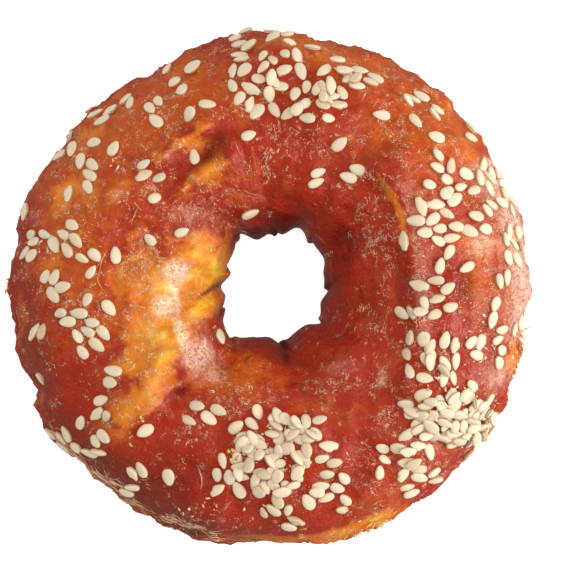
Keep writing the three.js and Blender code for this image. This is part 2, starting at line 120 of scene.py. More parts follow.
# Ripples: the length of their features in millimetres, and the number that starts their draws.
CREASES, WRINKLES, FINE_WRINKLES = (2.4, 3), (4.5, 4), (1.2, 5)
ROLLS, FRAY, COARSE_FRAY = (0.9, 12), (1.0, 10), (2.2, 11)
WRINKLE_SHARES = (0.6, 0.5, 0.3)  # of the creases, the wrinkles and the fine wrinkles
PLEATS_DRAW = 6  # starts their draws
PLEATS_ON_RIGHT, MORE_ON_LEFT = 0.25, 0.45
CALM_BY_HOLE, CALM = (11, 20), 0.25  # distances from the middle, and the share of wrinkles kept by the hole
ROLLS_BEGIN, ROLLS_END = (0.0, 0.3), (0.5, 0.9)  # from the crest, 0, to the wall of the hole, 1
ROLL_STRETCH = 6  # how many times longer the rolls are round the ring
SHARP_EDGE = (0.05, 0.085)  # share of a strip's width in which the skin drops
RIM = (0.9, 1.0)  # from the crest, 0, to the outer edge, 1
FRAY_DEPTH, COARSE_FRAY_DEPTH, FRAY_IN_GOLD = 0.35, 0.2, 1.2
# Sides of the ring: their direction, and the cosines off it at which they begin and are full.
LEFT_SIDE, RIGHT_SIDE = (190, -0.6, 0.3), (15, 0.3, 0.9)
LIT_SIDE, FAR_SIDE = (188, 0.2, 0.9), (90, -0.2, 0.8)
# Where a strip of skin ends: as the folds above, but thinner and steeper.
SKIN_EDGES = [
    (0.8, 7, 0.6, [(21, 21), (24.6, 15.9), (26, 13.2), (26.4, 7.4), (27.2, 0.6), (27.9, -8.5), (25.6, -19)]),
    (0.7, 2.6, 0.5, [(-24.4, -24.6), (-21, -21.4), (-16.8, -18)]),
    (0.5, 2, 0.6, [(-21, 22.9), (-17.8, 25.7), (-12.6, 29.2)]),
    (0.5, 2, 0.8, [(-16.8, 18), (-12.6, 21), (-7.6, 23.2)]),
    (0.5, 4, 0.5, [(-41, -29.6), (-34, -31.6), (-26, -26.4), (-20.6, -23)]),
    (0.35, 3, 0.6, [(-25, 12), (-28, 4), (-26, -4)]),
    (0.3, 4, 0.7, [(-10, 34), (2, 29), (16, 29.4), (26, 24)]),
    (0.3, 0.7, 4, [(4, -20), (14, -21), (21, -25)]),
    (1.2, 1.4, 1.4, [(-12.6, -1.6), (-15.6, -3.8)]),
    (1.3, 1.7, 1.7, [(3.5, -14.6), (3.8, -17.8)]),
]

# ---- Sesame seeds ----
SMALLEST_SEED = 0.86  # of the full size
SEED_SPREAD = 0.26
SEED_REACH = 0.62
SEED_ROOM = 1.75
PILE_LAYERS = 3
TRIES = 14
SEED_DRAW = 20240611
# Patches of seeds, in plan: x, y, half length, half width, turn, how many, and the seeds' mean heading and
# how far it strays to each side. Angles are in degrees.
SEED_PATCHES = [
    # the top of the ring
    (-4.6, 47, 2.4, 1.8, 10, 6, 15, 25), (0.4, 47.4, 1.2, 1, 0, 2, 40, 50),
    (3.5, 46.8, 1, 1.2, 0, 2, 25, 20), (-4.2, 40.4, 1.6, 1.4, 0, 2, 60, 15),
    (-0.4, 41.2, 1.4, 0.9, 0, 3, 70, 25),
    (-1.6, 38, 3.2, 1.4, -10, 4, -60, 60), (-4, 34.6, 1.2, 1.6, 0, 3, 50, 12),
    (5.4, 42.2, 0.7, 2.6, 8, 3, -75, 12), (7.2, 37.8, 2.2, 1.2, 0, 3, 60, 30),
    (5.9, 34.2, 1.2, 1.6, 0, 3, 30, 50), (11.4, 36, 2.8, 2.4, 0, 9, -40, 50),
    (15.2, 38.2, 1.6, 2.4, 0, 5, 40, 50), (19.3, 37.7, 1.8, 0.6, 0, 2, -40, 40),
    (9.2, 31.6, 2, 0.8, 0, 2, -15, 50), (16.3, 22, 0.5, 2, 0, 2, 0, 28), (8.8, 21.7, 0.5, 1.4, 0, 2, 0, 18),
    # the upper left
    (-17.4, 38, 1, 0.8, 0, 2, 65, 12), (-21.4, 32, 2.4, 0.7, -50, 3, -45, 20),
    (-32.2, 33.4, 1.8, 1.6, 0, 4, 25, 20), (-27.2, 34.8, 1.4, 0.6, 0, 2, 60, 40),
    (-33.6, 21, 1.5, 1, -50, 3, -50, 35), (-22.4, 21.2, 2.2, 1.1, 0, 3, 15, 35),
    (-43.8, 9.2, 2.2, 1, 0, 3, 0, 25), (-38.2, 8.4, 2.4, 1.5, -20, 5, -45, 25),
    (-34.8, 6, 2.2, 0.9, 0, 2, -10, 40), (-43, 5.4, 3, 0.8, -10, 2, 20, 40),
    (-42.4, 1.4, 4, 0.9, -10, 3, 20, 50),
    # the lower left
    (-38.6, -5.6, 1.8, 1.3, 0, 3, 10, 30), (-34.4, -8, 1.8, 1.4, 0, 4, -40, 45),
    (-43.1, -9.4, 0.6, 1.8, 0, 2, 85, 20), (-29.2, -17.9, 0.6, 1.2, 0, 2, 0, 15),
    (-32.4, -23.3, 1.8, 1.1, 0, 3, 0, 45), (-39.2, -27.3, 3.2, 0.6, -50, 4, -45, 12),
    (-31.6, -28.9, 2.2, 1, -10, 4, 0, 35), (-25, -34.9, 1.6, 0.6, -20, 2, -72, 8),
    (-26.1, -38.9, 0.5, 1.4, 0, 2, 10, 20), (-12, -22.8, 3.6, 0.5, -8, 3, -30, 18),
    # the pile at the bottom and what trails from it
    (0.6, -32.6, 7, 6, 0, 48, -60, 80), (4.5, -27, 4.6, 2.4, -15, 14, -20, 60),
    (-5.6, -27.6, 1.2, 1.2, 0, 2, 60, 40), (-2.4, -26, 1, 2, 0, 2, -60, 30),
    (-6.8, -35.2, 1, 3, 0, 4, -80, 20), (10.2, -33.6, 2.4, 1.6, 0, 3, 0, 40),
    (11, -38.7, 3.2, 0.9, 0, 4, 10, 30), (14, -40.9, 1, 1.6, 0, 2, -30, 40),
    (1.4, -41.2, 0.8, 2.8, -15, 4, -70, 30), (5, -44.4, 1.8, 0.4, 0, 2, 0, 35),
    # the pile at the lower right and what lies round it
    (34.5, -25, 8, 4.6, -10, 60, 0, 80), (34, -21.4, 4.4, 1.4, 0, 6, 0, 60),
    (26, -30, 2.4, 0.8, 5, 4, 20, 40), (22, -33.8, 0.7, 2.2, 0, 3, -60, 30),
    (26.6, -34.4, 2.2, 1.6, 20, 5, 20, 45), (31, -34.9, 0.7, 1.4, 0, 2, 0, 25),
    (26.7, -39, 0.5, 1.8, 0, 2, 18, 6), (31, -14.8, 3.6, 2.2, -10, 8, 90, 30),
    (35.6, -14.4, 0.7, 2, 0, 2, 85, 15), (30, -10.2, 3.4, 1, 5, 4, 68, 10),
    (38.9, -11.6, 2, 1.4, 0, 3, 20, 60), (44.4, -10.2, 1.8, 0.7, 0, 2, 5, 20),
    (43.9, -14.7, 0.6, 1.8, 0, 2, -25, 40), (42.1, -4.9, 0.6, 2.2, 0, 2, 80, 35),
    (34, -4.6, 2.4, 1.6, 45, 3, 22, 10), (26.8, -4.9, 2, 0.8, 0, 3, -10, 40),
    # the right and the upper right
    (43.2, 1, 1.6, 0.4, 0, 2, 85, 8), (46.4, 7, 1.6, 3.6, 0, 8, -70, 35),
    (33.6, 10.9, 1.6, 1.2, 0, 3, 0, 30), (37.7, 10.8, 1.4, 0.6, 0, 2, -10, 50),
    (29.3, 10.1, 1.6, 0.6, 10, 2, 25, 30),
    (27.3, 12.4, 1.4, 0.6, 0, 2, -30, 40), (33.4, 13.4, 2.4, 0.7, 0, 2, -30, 30),
    (33.6, 15.9, 1.6, 0.9, -25, 2, 32, 6), (44, 16.2, 2.8, 2, -30, 7, -40, 30),
    (36.2, 17.8, 1.8, 0.9, 15, 2, 10, 30), (42.8, 21, 1.8, 2.4, 0, 6, -80, 30),
    (38.6, 21.2, 1.6, 1.2, -30, 2, 0, 30), (33.6, 22, 2.4, 1.2, 0, 3, -60, 40),
    (38.9, 28.2, 0.5, 2.6, 10, 2, -45, 20), (32.2, 34.3, 1, 2.2, -20, 2, -38, 14),
    (25.2, 35.4, 2.8, 1.2, -10, 3, -38, 16),
]
# Single seeds: x, y and heading.
LONE_SEEDS = [
    (-19.4, 41.6, 70), (-14.5, 41.9, 25), (-11.5, 34.1, -10), (-14.8, 32.4, 60), (-38.2, 28.8, 20),
    (-33, 27.1, -10), (-37.6, 26.1, -80), (-29.2, 25.9, 60), (-40.2, 24.8, 20), (-35.4, 23.4, -80),
    (-38.2, 17.6, 80), (-21.5, 16.6, 25), (-14, 24.2, -80), (-46, 14, 75), (-16.6, 10.3, 20),
    (-22.3, 8.8, -45), (-29, 5.8, -80), (-33.6, 2.6, 60), (-3.8, 28.3, 15), (-3.6, 13.9, 20),
    (-6.7, 37.6, -75), (1.2, 33.4, -55), (0, 36.2, -75), (1.9, 37.7, -10), (3, 40.8, 20), (10.3, 40.6, 40),
    (8.2, 45.2, -15), (13, 43, 15), (17.4, 41.2, -15), (21.3, 32.4, -5), (27.8, 31, -60), (31.2, 27.7, -15),
    (13.4, 26.9, 35), (29.8, 18.8, -5), (38.9, 13.1, -10), (25.8, 8.6, -75), (31.6, 8.4, -20),
    (33.8, 6.4, 60), (32.2, 3.8, 80), (31.6, 1.6, 0), (37.4, 3.5, 25), (28.5, 0.1, -15), (33.7, -0.4, 35),
    (29.2, -3.5, -75), (47.1, -8.3, 40), (48.9, -7, -85), (26.3, -13, -60), (29.2, -17.5, -10),
    (38.1, -18.6, -50), (28.8, -20.1, 25), (25.8, -22, 0), (42, -22, 65), (30.2, -31.3, -80),
    (38.3, -31.9, 75), (12.4, -33.2, 15), (14.2, -36.4, -50), (7.4, -40.7, -60), (-9.6, -38.4, 40),
    (-10, -10.2, -70), (-15, -25.5, -35), (-18.9, -36.1, -85), (-23.3, -27.3, 30), (-36.2, -30.2, -10),
    (-35.4, -25.8, 70), (-43.9, -17.8, 75), (-35.3, -12.5, -55), (-31.3, -8.8, -50), (-30.2, -4.1, -55),
    (-34.2, -2.6, 65), (-40.7, -1.7, -45),
]

# Shapes of seed: name, share of the full width, how much wider the blunt end is, and how often one is drawn.
SEED_SHAPES = [
    ("seed_plump", 1.05, 0.14, 0.33), ("seed_common", 0.96, 0.19, 0.41), ("seed_slender", 0.82, 0.24, 0.17),
    ("seed_ragged", 0.98, 0.12, 0.09),
]
SEED_POINTS, SEED_RINGS = 10, 7
TIP_TAPER = 0.14  # how much narrower the tip is
# Powers that flatten a ball's section: towards the seed's faces, towards its sides, and along it.
FACE_POWER, SIDE_POWER, LENGTH_POWER = 0.6, 0.85, 0.5
TEAR, TEAR_LENGTH, TEAR_DRAW = 0.16, 0.7, 70  # depth as a share, length of the ripples, start of their draws
SEED_TILT, LAYER_TILT = 4, 9  # degrees, on the crust and more for each layer
SETTLING_DRAW = 21

# Where the seeds do lie on each other: x, y, half length and half width. Elsewhere they lie side by side.
PILES = [(0.6, -31.4, 8.4, 7.4), (34.0, -24.0, 9.6, 6.4)]
SLIDE_TRIES = 90
SLIDE_STEP = 0.32  # how far the search for a free place goes out, times the root of the try
SLIDE_ROOM = 1.9
GOLDEN_ANGLE = math.radians(137.5)

# ---- Where the crust's colours change ----
UPPER_SIDE = (WIDEST_LEVEL - 8, WIDEST_LEVEL + 4)  # levels over which the patches fade in
LINES_FADE = (WIDEST_LEVEL - 9, WIDEST_LEVEL - 1)  # the same for the lines
BELOW = (3, WIDEST_LEVEL + 2)  # levels over which what is said of the underside fades out
HOLE_SHADE = (10.4, 13.0)  # distances from the middle over which the painted shade of the hole fades out
THROAT_GLOW = 0.75  # share of that painted shade which is gone where the light shines in
CREASE_PLACE, CREASE_WIDTH = 0.045, 0.018  # of the painted shade in the crease below a strip's edge, as shares of its width
THIN_PLACE, THIN_WIDTH = 0.12, 0.05  # of the thin, light skin along its edge
# How far the borders of the colours wander along x, y and z: ripples, and millimetres.
WANDER = [((3.0, 8), 0.5), ((3.0, 9), 0.5), ((4.0, 13), 2.5)]
# Patches on the upper side, in plan: x, y, half length, half width, turn in degrees, share.
GOLD_PATCHES = [
    (-11.4, 3.2, 4.8, 5.4, -20, 1), (-15.4, 6.4, 4.4, 2.2, 24, 0.9), (-19.4, 0.6, 3.4, 3.6, 20, 0.8),
    (-21.5, -8.5, 8, 3.6, 52, 0.66), (-22.4, -20.4, 6.4, 2.6, 42, 0.6), (-18, -11, 6, 2, 58, 0.7),
    (-12.6, -4.4, 3.4, 2, 50, 0.75), (-34, 28.6, 3.4, 2.4, 30, 0.45), (-38.5, 17.5, 5, 2.2, 60, 0.5),
    (-14.8, 27.4, 2.4, 1.3, 35, 0.85), (-11.8, 21.4, 4.4, 2.6, 35, 0.75), (-44, -22, 1.6, 1.6, 0, 0.4),
    (-26, -15.4, 3.4, 2.6, 50, 0.7), (20.6, -44.8, 5, 1.6, 22, 0.85), (47.4, -13.8, 1.6, 4.6, 10, 0.6),
    (38.8, 8, 1.8, 1.4, 0, 0.3), (-3, -18.4, 4, 2.4, 0, 0.22), (-26, 2, 4.4, 7, 0, 0.5),
    (-47.6, -3, 1.2, 9, 0, 0.3), (42.6, -27.6, 1.2, 4, -35, 0.5), (-34, 20, 3, 4, 0, 0.3),
]
# Painted shade: patches of deep red where shade falls, in creases, hollows and by the hole.
DEEP_SHADE_PATCHES = [
    (-12.8, 23.8, 4.4, 1.3, 42, 0.65), (-8.6, 28.2, 2.2, 1.4, 40, 0.5), (-16.9, -19.8, 1.5, 1.3, 50, 0.6),
    (-0.6, 14, 6.6, 2.2, 0, 0.45), (3.2, 12.6, 3.8, 1.9, 0, 0.8), (13.6, 5, 3.2, 8, 0, 0.55),
    (3.2, -13.2, 4, 2.4, 0, 0.35), (-17, -35, 11, 5, -25, 0.5), (14.6, 9.4, 3.2, 3.4, 0, 0.55),
    (22, -28, 8, 8, 0, 0.2), (-38, -13, 6, 10, 10, 0.3), (-8, 25, 6, 3, 0, 0.2), (16, -37, 5, 4, 0, 0.5),
    (19, -3, 5, 6, 0, 0.35), (27, 0, 2, 10, 0, 0.15), (36, 0.5, 4, 6, 0, 0.5), (-20, -40, 8, 4, -25, 0.4),
]
AMBER_PATCHES = [
    (-22, 34, 20, 11, 35, 0.9), (18, 42, 26, 7, -28, 0.9), (34, 30, 12, 8, -45, 0.95),
    (-36, 12, 11, 18, 0, 0.75), (-24, -4, 10, 12, 0, 0.95), (41, 4, 6, 16, 0, 0.6),
    (-4, -18, 9, 4.6, -8, 1), (-4, 22, 12, 6, 0, 0.25), (-29, -25, 7, 5, 45, 0.6), (10, -24, 7, 4, 0, 0.5),
    (20, 28, 8, 5, -30, 0.5), (-40, -12, 6, 10, 0, 0.3), (22, -39, 10, 5, 30, 0.5), (30, 18, 5, 9, 15, 0.6),
    (17, -9, 3, 5, 20, 0.4),
]
# Painted sheen: patches where the glaze is painted pale for the light's glare on it.
PAINTED_SHEEN_PATCHES = [
    (13.4, -15.1, 3.6, 2.4, 20, 0.45), (19.6, -5, 2.4, 3.4, 0, 0.15), (-18.6, 24.8, 2, 1.6, 40, 0.45),
    (-28.4, 17.4, 2.4, 2.6, 0, 0.3), (-15.3, 13.4, 1.6, 2.4, 0, 0.45), (-13.4, -13.4, 2.2, 3.6, -25, 1),
    (-10, -16.4, 2.4, 2.2, -40, 0.6), (36, 14, 4, 8, 0, 0.1), (-17.2, 3, 2.3, 2.3, 0, 1),
    (40, 8, 2.6, 2.6, 0, 0.7), (-18.3, -0.4, 1.3, 2.6, 0, 0.9), (-19.5, -3.7, 2.4, 2.2, 0, 1),
    (-46, 24, 1.4, 6, -25, 0.3), (44, -17, 4, 3.4, 30, 0.6), (21.4, -17.2, 1.6, 2.2, 0, 0.5),
]
# Brown band at the lower edge, partly real brown tone and partly painted shade where the light does not
# reach.
BROWN_AND_SHADE_PATCHES = [
    (-30, -35, 16, 5, -42, 0.8), (-44, -14, 4, 16, 15, 0.55), (-14, -46, 14, 4, -16, 0.75),
    (-47, 10, 3, 14, -5, 0.35), (-23, -20.5, 6, 3.2, 42, 0.36), (8, -47, 12, 3, 6, 0.35),
    (-38, 30, 10, 3, 50, 0.3),
]
# Where the skin is thick with fine specks. Between these patches it is clear and smooth.
DUST_PATCHES = [
    (-23, 1, 4.4, 10, 15, 1), (-24, -14, 4, 9, -25, 0.8), (-11, 15, 8, 5, 40, 0.9),
    (29.6, -5, 3.4, 17, 0, 0.9), (20.4, 9, 3, 9, 15, 0.6), (31, -34, 8, 6, 20, 0.9),
    (32, 27, 12, 7, -45, 0.4), (-19, 34, 6, 5, 20, 0.8), (-11, -19, 5, 4, -30, 0.8),
    (12, -18.4, 3.6, 3.4, 0, 0.8), (44, 4, 5, 18, 0, 0.7), (-34, -4, 6, 8, 0, 0.5), (8, 28, 10, 4, 0, 0.6),
    (-30, 20, 6, 6, 0, 0.5), (20, 40, 10, 5, -20, 0.5), (-16, -42, 10, 3, -20, 0.3),
    (24, -20, 3, 8, 0, 0.6), (40, -16, 6, 6, 0, 0.7),
]
# Where it is hatched with fine pale lines that run round the ring: partly real fibres, partly painted
# glints.
HATCH_PATCHES = [
    (20.4, 9.6, 4.4, 9, 12, 1), (18.6, -8.6, 3.4, 5, 0, 0.8), (-20, 21, 7, 6, 0, 0.4),
    (-33, -34, 13, 3, -42, 0.5), (-22, -18, 6, 3, 42, 0.5), (36, 22, 5, 8, 0, 0.4),
]
# Lines on the upper side, as the folds are: share, how far they spread to the left and to the right, points.
GOLD_LINES = [
    (0.5, 0.9, 1.5, [(-35, -34.8), (-24, -43.2), (-12, -47.8), (2, -48.8), (14, -47.2)]),
    (0.45, 2.4, 0.8, [(-27, -24.6), (-21.4, -18.6), (-16.8, -11)]),
    (0.35, 1.6, 0.9, [(-21, 23.6), (-17.8, 26.4), (-12.8, 29.4)]),
    (0.6, 0.5, 0.8, [(21.6, 19.6), (24, 16.2), (25.3, 12.4)]),
]
# Painted sheen along lines, on slopes and edges that face the light.
PAINTED_SHEEN_LINES = [
    (1, 1.7, 1, [(-16.8, -8.4), (-15.8, -11.6)]),
    (0.4, 3.4, 0.3, [(24.4, 18.6), (26.8, 13.2), (27.2, 7.4), (27.9, 0.6), (28.4, -8.5)]),
    (0.8, 3, 4, [(42.5, 23), (47.4, 12), (49.4, 0), (48.8, -9)]),
]
# Painted shade along creases and at the foot of strips' edges.
DEEP_SHADE_LINES = [
    (0.45, 0.4, 1.2, [(-24, -25.6), (-20.4, -22.2), (-16.4, -19)]),
    (0.7, 0.8, 0.8, [(3, -11), (3.2, -13.6)]),
    (0.75, 0.5, 0.6, [(-10.4, -0.2), (-12.2, -1.4)]),
    (0.35, 1.2, 1.4, [(24.4, 7.4), (25, 0.6), (25.6, -6)]),
]

# ---- What lies on the crust besides seeds ----
FIBRE_DRAW, END_DRAW, CRUMB_DRAW = 31, 41, 51
STRAND_SHAPE = (0.35, 0.9, 1.0, 0.7, 0.2)  # a strand's thickness from end to end
STRAND_LIFT = 0.05  # millimetres over the crust
BUNDLE_STRANDS = (3, 16)  # from the first of these to one less than the second
BUNDLE_WIDTH, BUNDLE_HEIGHT = 0.02, 0.045  # radians round the ring and round the tube
BUNDLE_STRAY, BUNDLE_CURL = 0.3, 1.3  # radians
BUNDLE_LIFT, LONG_LIFT = 0.03, 0.05  # millimetres at the middle of a short strand and of a long one
SHORTEST_STRAND = 0.22  # of a bundle's longest
LONGEST_ANYWHERE = 1.1  # millimetres, outside the patches
# Bundles of fibres: x, y, half length, half width, turn, bundles, the fibres' heading and its spread, and
# their greatest length. A heading of 0 runs round the ring and one of 90 over it. Angles are in degrees.
FIBRE_PATCHES = [
    (20.6, 10, 8, 3, 80, 5, 0, 12, 1.6), (16, 17, 6, 4, 60, 4, 0, 20, 1.6),
    (-27, 4, 7, 9, 20, 9, 0, 50, 1.3), (-15, 11, 6, 5, 0, 6, 40, 50, 1.2),
    (-20, -6, 8, 7, 50, 7, 20, 50, 1.2), (-12, -12, 3, 6, -40, 7, 70, 40, 1.3),
    (0.2, 23, 1, 3, 0, 6, 80, 10, 2.2), (-8, 19, 6, 4, 0, 4, 80, 20, 1.4),
    (-22, 20, 8, 5, 45, 6, 40, 50, 1.4), (36, 2, 7, 14, 0, 14, 0, 40, 1.2),
    (0, 31, 14, 5, 0, 8, 30, 60, 1.3), (22, -30, 9, 7, 0, 6, 0, 60, 1.2),
    (-34, -34.5, 14, 1.8, -42, 22, 0, 6, 6), (-16, -45.6, 8, 1.2, -16, 9, 0, 6, 4),
    (28.8, -3, 1.6, 9, 0, 8, 0, 12, 1.6), (18, -8, 3, 4, 0, 4, 0, 15, 2),
    (-34, 16, 4, 10, 0, 4, 60, 40, 1.4), (20.4, -17, 1.4, 1.4, 0, 4, 0, 60, 0.8),
]
# Single long fibres: x, y, heading in plan and curl in degrees, length.
LONG_FIBRES = [
    (-30.3, 7, -112, -20, 5.6), (-32.4, 1.7, -78, 30, 3.6), (-30.9, 6.2, -106, 10, 4.6),
    (-24.5, 15, -122, 12, 5), (-24.9, 14, -118, -25, 3.4), (-34.7, 15.6, -48, 30, 2.2),
    (-4.8, 18.1, -34, 25, 5.4), (-13.7, -33.7, -62, -70, 6.6), (-13.4, -34.6, -66, -60, 5),
    (-6.4, 27.2, -70, 20, 2.8), (-17.2, 26.2, -140, -60, 3.2), (-12.4, 14.6, -60, 40, 2.6),
    (21.5, -0.6, 66, 20, 3), (22.4, 3.2, -60, -20, 2.2), (-42.4, -33, -48, 10, 5),
    (-38, -36.4, -44, -12, 6),
]
# Loose ends at the outer edge: direction and its spread in degrees, degrees up round the tube, ends, reach.
FRAYED_EDGES = [
    (180, 1, 2, 12, 1.3), (190.5, 1.2, 2, 9, 1), (208, 1.5, 2, 9, 1.3), (349.5, 0.35, 2, 12, 3.2),
    (343, 4, 6, 30, 1), (331, 5, 4, 22, 0.9), (294, 2.4, 4, 54, 1.5), (301, 3, 6, 24, 1),
    (222, 6, 0, 26, 0.6), (236, 5, 0, 26, 0.5), (252, 6, 0, 24, 0.5), (268, 6, 0, 24, 0.45),
    (95, 5, 2, 12, 0.5), (140, 14, 0, 26, 0.4), (60, 14, 0, 20, 0.4), (10, 10, 2, 14, 0.5),
    (165, 12, 0, 22, 0.45), (200, 10, 0, 18, 0.5), (118, 10, 0, 20, 0.45), (36, 9, 0, 14, 0.4),
]
# Golden crumbs, and chips of seed: x, y, half length, half width, turn in degrees, pieces, highest lift.
CRUMB_PATCHES = [
    (34.5, -23.5, 8, 6, -40, 46, 1), (0.6, -31.2, 8, 6, 0, 40, 1), (-26.2, -14.6, 0.8, 1.4, 40, 7, 0.4),
    (-26, -28.5, 0.8, 1.6, 0, 5, 0.2), (-7.2, -31.8, 0.8, 1, 0, 5, 0.3), (28.9, -19.2, 1, 1, 0, 5, 0.3),
    (-23.9, -24.4, 0.8, 0.8, 0, 7, 0.3), (47.6, -13, 1.2, 5, 10, 16, 0.3),
    (19.6, -45.2, 5, 1.2, 22, 12, 0.2), (-12, -40.6, 2.6, 1, -30, 5, 0.2),
    (-2.6, -42.4, 2.2, 1, 10, 4, 0.2),
]
CHIP_PATCHES = [
    (0.6, -31.2, 8, 6, 0, 70, 1.4), (34.5, -23.5, 7.5, 5.5, -40, 90, 1.4), (-40, 8, 4, 2, 15, 26, 0.6),
    (-34, -8, 3, 2, 0, 16, 0.5), (42, 18, 4, 4, 0, 12, 0.4), (5, 38, 12, 5, 0, 14, 0.4),
    (38, -10, 6, 6, 0, 22, 0.5), (-15, -42, 3, 1.6, -30, 8, 0.2), (-29, 23, 1.2, 1.2, 0, 5, 0.2),
]
# A frayed end: spread up the tube in degrees, curl in radians, the shortest end, and shares of its reach.
END_SPREAD, END_CURL, SHORTEST_END, END_LENGTH, END_LIFT = 9, 1.5, 0.4, 1.4, 0.75
END_THICKNESS = 2.5  # of a fibre's
# The lumps that crumbs and chips are copied from: balls that are flattened and dented by ripples.
LUMP_SHAPES = 3
LUMP_STRETCH = (1.0, 0.75, 0.4)
LUMP_DENTS, LUMP_DENT_LENGTH, LUMP_DRAW = 0.35, 0.4, 60
LUMP_TILT = 0.5  # radians
SMALLEST_LUMP, NARROWEST_LUMP = 0.3, 0.5
CHIP_SIZE = 0.8  # of a crumb's

# ---- The light ----
# Softboxes that face the bagel: name, place and width, in metres.
SOFTBOXES = [
    ("key", (0.6, -0.12, 0.24), 0.42), ("fill", (0.05, 0.1, 1.2), 0.9), ("edge", (-0.55, 0.2, 0.3), 0.25),
]
FLOOR_SHADE = 0.97  # of the floor's colour, in its darker parts


# ---- Numbers ----
def make_draw(start):
    """Park and Miller's generator, so that each run draws the same seeds as the solid has."""
    state = start

    def draw():
        nonlocal state
        state = (state * 16807) % 2147483647
        return state / 2147483647

    return draw


def smooth_step(low, high, value):
    t = np.clip((value - low) / (high - low), 0, 1)
    return t * t * (3 - 2 * t)


def signed_power(value, power):
    return np.sign(value) * np.abs(value) ** power


def round_the_ring(values, angle):
    """A smooth closed curve through values that are evenly spaced round a turn."""
    values = np.array(values)
    count = len(values)
    place = (np.mod(angle / TURN, 1) + 1) * count
    first = np.floor(place).astype(int)
    t = place - first
    a, b, c, d = (values[(first + step + count) % count] for step in (-1, 0, 1, 2))
    return b + 0.5 * t * (c - a + t * (2 * a - 5 * b + 4 * c - d + t * (3 * (b - c) + d - a)))


# ---- The crust's form, as in the solid, in millimetres ----
def section_at(angle):
    outer, inner = round_the_ring(OUTER_EDGE, angle), round_the_ring(HOLE_EDGE, angle)
    return (outer + inner) / 2, (outer - inner) / 2


def fold_height(fold, x, y):
    nearest = np.full(np.shape(x), np.inf)
    side, past = np.zeros_like(nearest), np.zeros_like(nearest)
    height, left, right, crest = fold
    for (x0, y0), (x1, y1) in zip(crest, crest[1:]):
        length = math.hypot(x1 - x0, y1 - y0)
        along = ((x - x0) * (x1 - x0) + (y - y0) * (y1 - y0)) / length
        across = ((y - y0) * (x1 - x0) - (x - x0) * (y1 - y0)) / length
        over = np.maximum(0, np.maximum(-along, along - length))
        distance = np.hypot(across, over)
        closer = distance < nearest
        nearest, side = np.where(closer, distance, nearest), np.where(closer, across, side)
        past = np.where(closer, over, past)
    width = np.where(side > 0, left, right)
    return height * np.exp(-((side / width) ** 2) - (past / FOLD_FADE) ** 2)


def strip_across(angle, tube):
    """How far across its strip each point lies, 0 to 1."""
    place = (STRIPS * angle + STRIP_TWIST * tube) / TURN
    for share, ring, round_tube, phase in STRIP_WANDER:
        place = place + share * np.sin(ring * angle + round_tube * tube + phase)
    return place - np.floor(place)


def strip_height(angle, tube, up):
    across = strip_across(angle, tube)
    mean = 0.5 - STRIP_EDGE / 2
    share = STEP_SHARE_ON_TOP + (1 - STEP_SHARE_ON_TOP) * (1 - smooth_step(*STEPS_FADE, up))
    return STRIP_STEP * share * (smooth_step(0, STRIP_EDGE, across) - across - mean)


def crust_points(angle, tube, extra=0):
    """The crust's points at angles in plan and round the tube. `extra` stands proud of the relief."""
    middle, half = section_at(angle)
    out, up = np.cos(tube), np.sin(tube)
    tall = np.where(up > 0, RISE, DROP)
    distance = middle + half * signed_power(out, 2 / ROUNDNESS)
    level = WIDEST_LEVEL + tall * signed_power(up, 2 / ROUNDNESS)
    x, y = distance * np.cos(angle), distance * np.sin(angle)
    on_top = smooth_step(*RELIEF_FADE, up)
    proud = strip_height(angle, tube, up) + extra
    for height, (kx, ky, kz), phase in LUMPS:
        proud = proud + height * np.sin(kx * x + ky * y + kz * level + phase)
    for fold in FOLDS:
        proud = proud + on_top * fold_height(fold, x, y)
    for at_x, at_y, radius, height in BUMPS:
        proud = proud + on_top * height * np.exp(-(np.hypot(x - at_x, y - at_y) / radius) ** 2)
    lean = np.hypot(out * tall, up * half)
    outwards = proud * out * tall / lean
    height = np.maximum(0, level + proud * up * half / lean)
    return np.stack([x + outwards * np.cos(angle), y + outwards * np.sin(angle), height], -1)


def crust_frames(angle, tube):
    """The crust's normals, and its directions round the ring."""
    step = math.radians(1)
    round_ring = crust_points(angle + step, tube) - crust_points(angle - step, tube)
    over = crust_points(angle, tube + step) - crust_points(angle, tube - step)
    normal = np.cross(round_ring, over)
    return unit(normal), unit(round_ring)


def unit(vectors):
    return vectors / np.linalg.norm(vectors, axis=-1, keepdims=True)


def tube_angle(angle, distance):
    """The angle round the tube at a distance from the middle, over the top."""
    middle, half = section_at(angle)
    share = np.clip((distance - middle) / half, -1, 1)
    return float(np.arccos(np.clip(signed_power(share, ROUNDNESS / 2), -1, 1)))


def ring_place(x, y):
    """The angles in plan and round the tube of the crust's point above a point in plan."""
    angle = math.atan2(y, x)
    return angle, tube_angle(angle, math.hypot(x, y))


def turned(x, y, along, across, turn):
    """A point in plan, from the middle of a patch and distances along and across it."""
    cos, sin = math.cos(turn), math.sin(turn)
    return x + along * cos - across * sin, y + along * sin + across * cos


# ---- Where the seeds lie ----
def seed_ends(angle, tube, heading):
    inwards = math.sin(tube) * math.sin(heading)
    reach = np.array([
        -math.sin(angle) * math.cos(heading) - math.cos(angle) * inwards,
        math.cos(angle) * math.cos(heading) - math.sin(angle) * inwards,
        math.cos(tube) * math.sin(heading),
    ]) * SEED_REACH
    point = crust_points(angle, tube)
    return np.array([point + reach, point - reach])


def has_room(others, ends, room):
    """Whether a seed's ends are at least that far from those of the other seeds."""
    if not others:
        return True
    gaps = np.linalg.norm(np.concatenate(others)[:, None] - ends[None], axis=-1)
    return gaps.min() >= room


def free_layer(taken, ends):
    """The lowest layer in which a seed has room, or None."""
    free = (layer for layer, others in enumerate(taken) if has_room(others, ends, SEED_ROOM))
    return next(free, None)


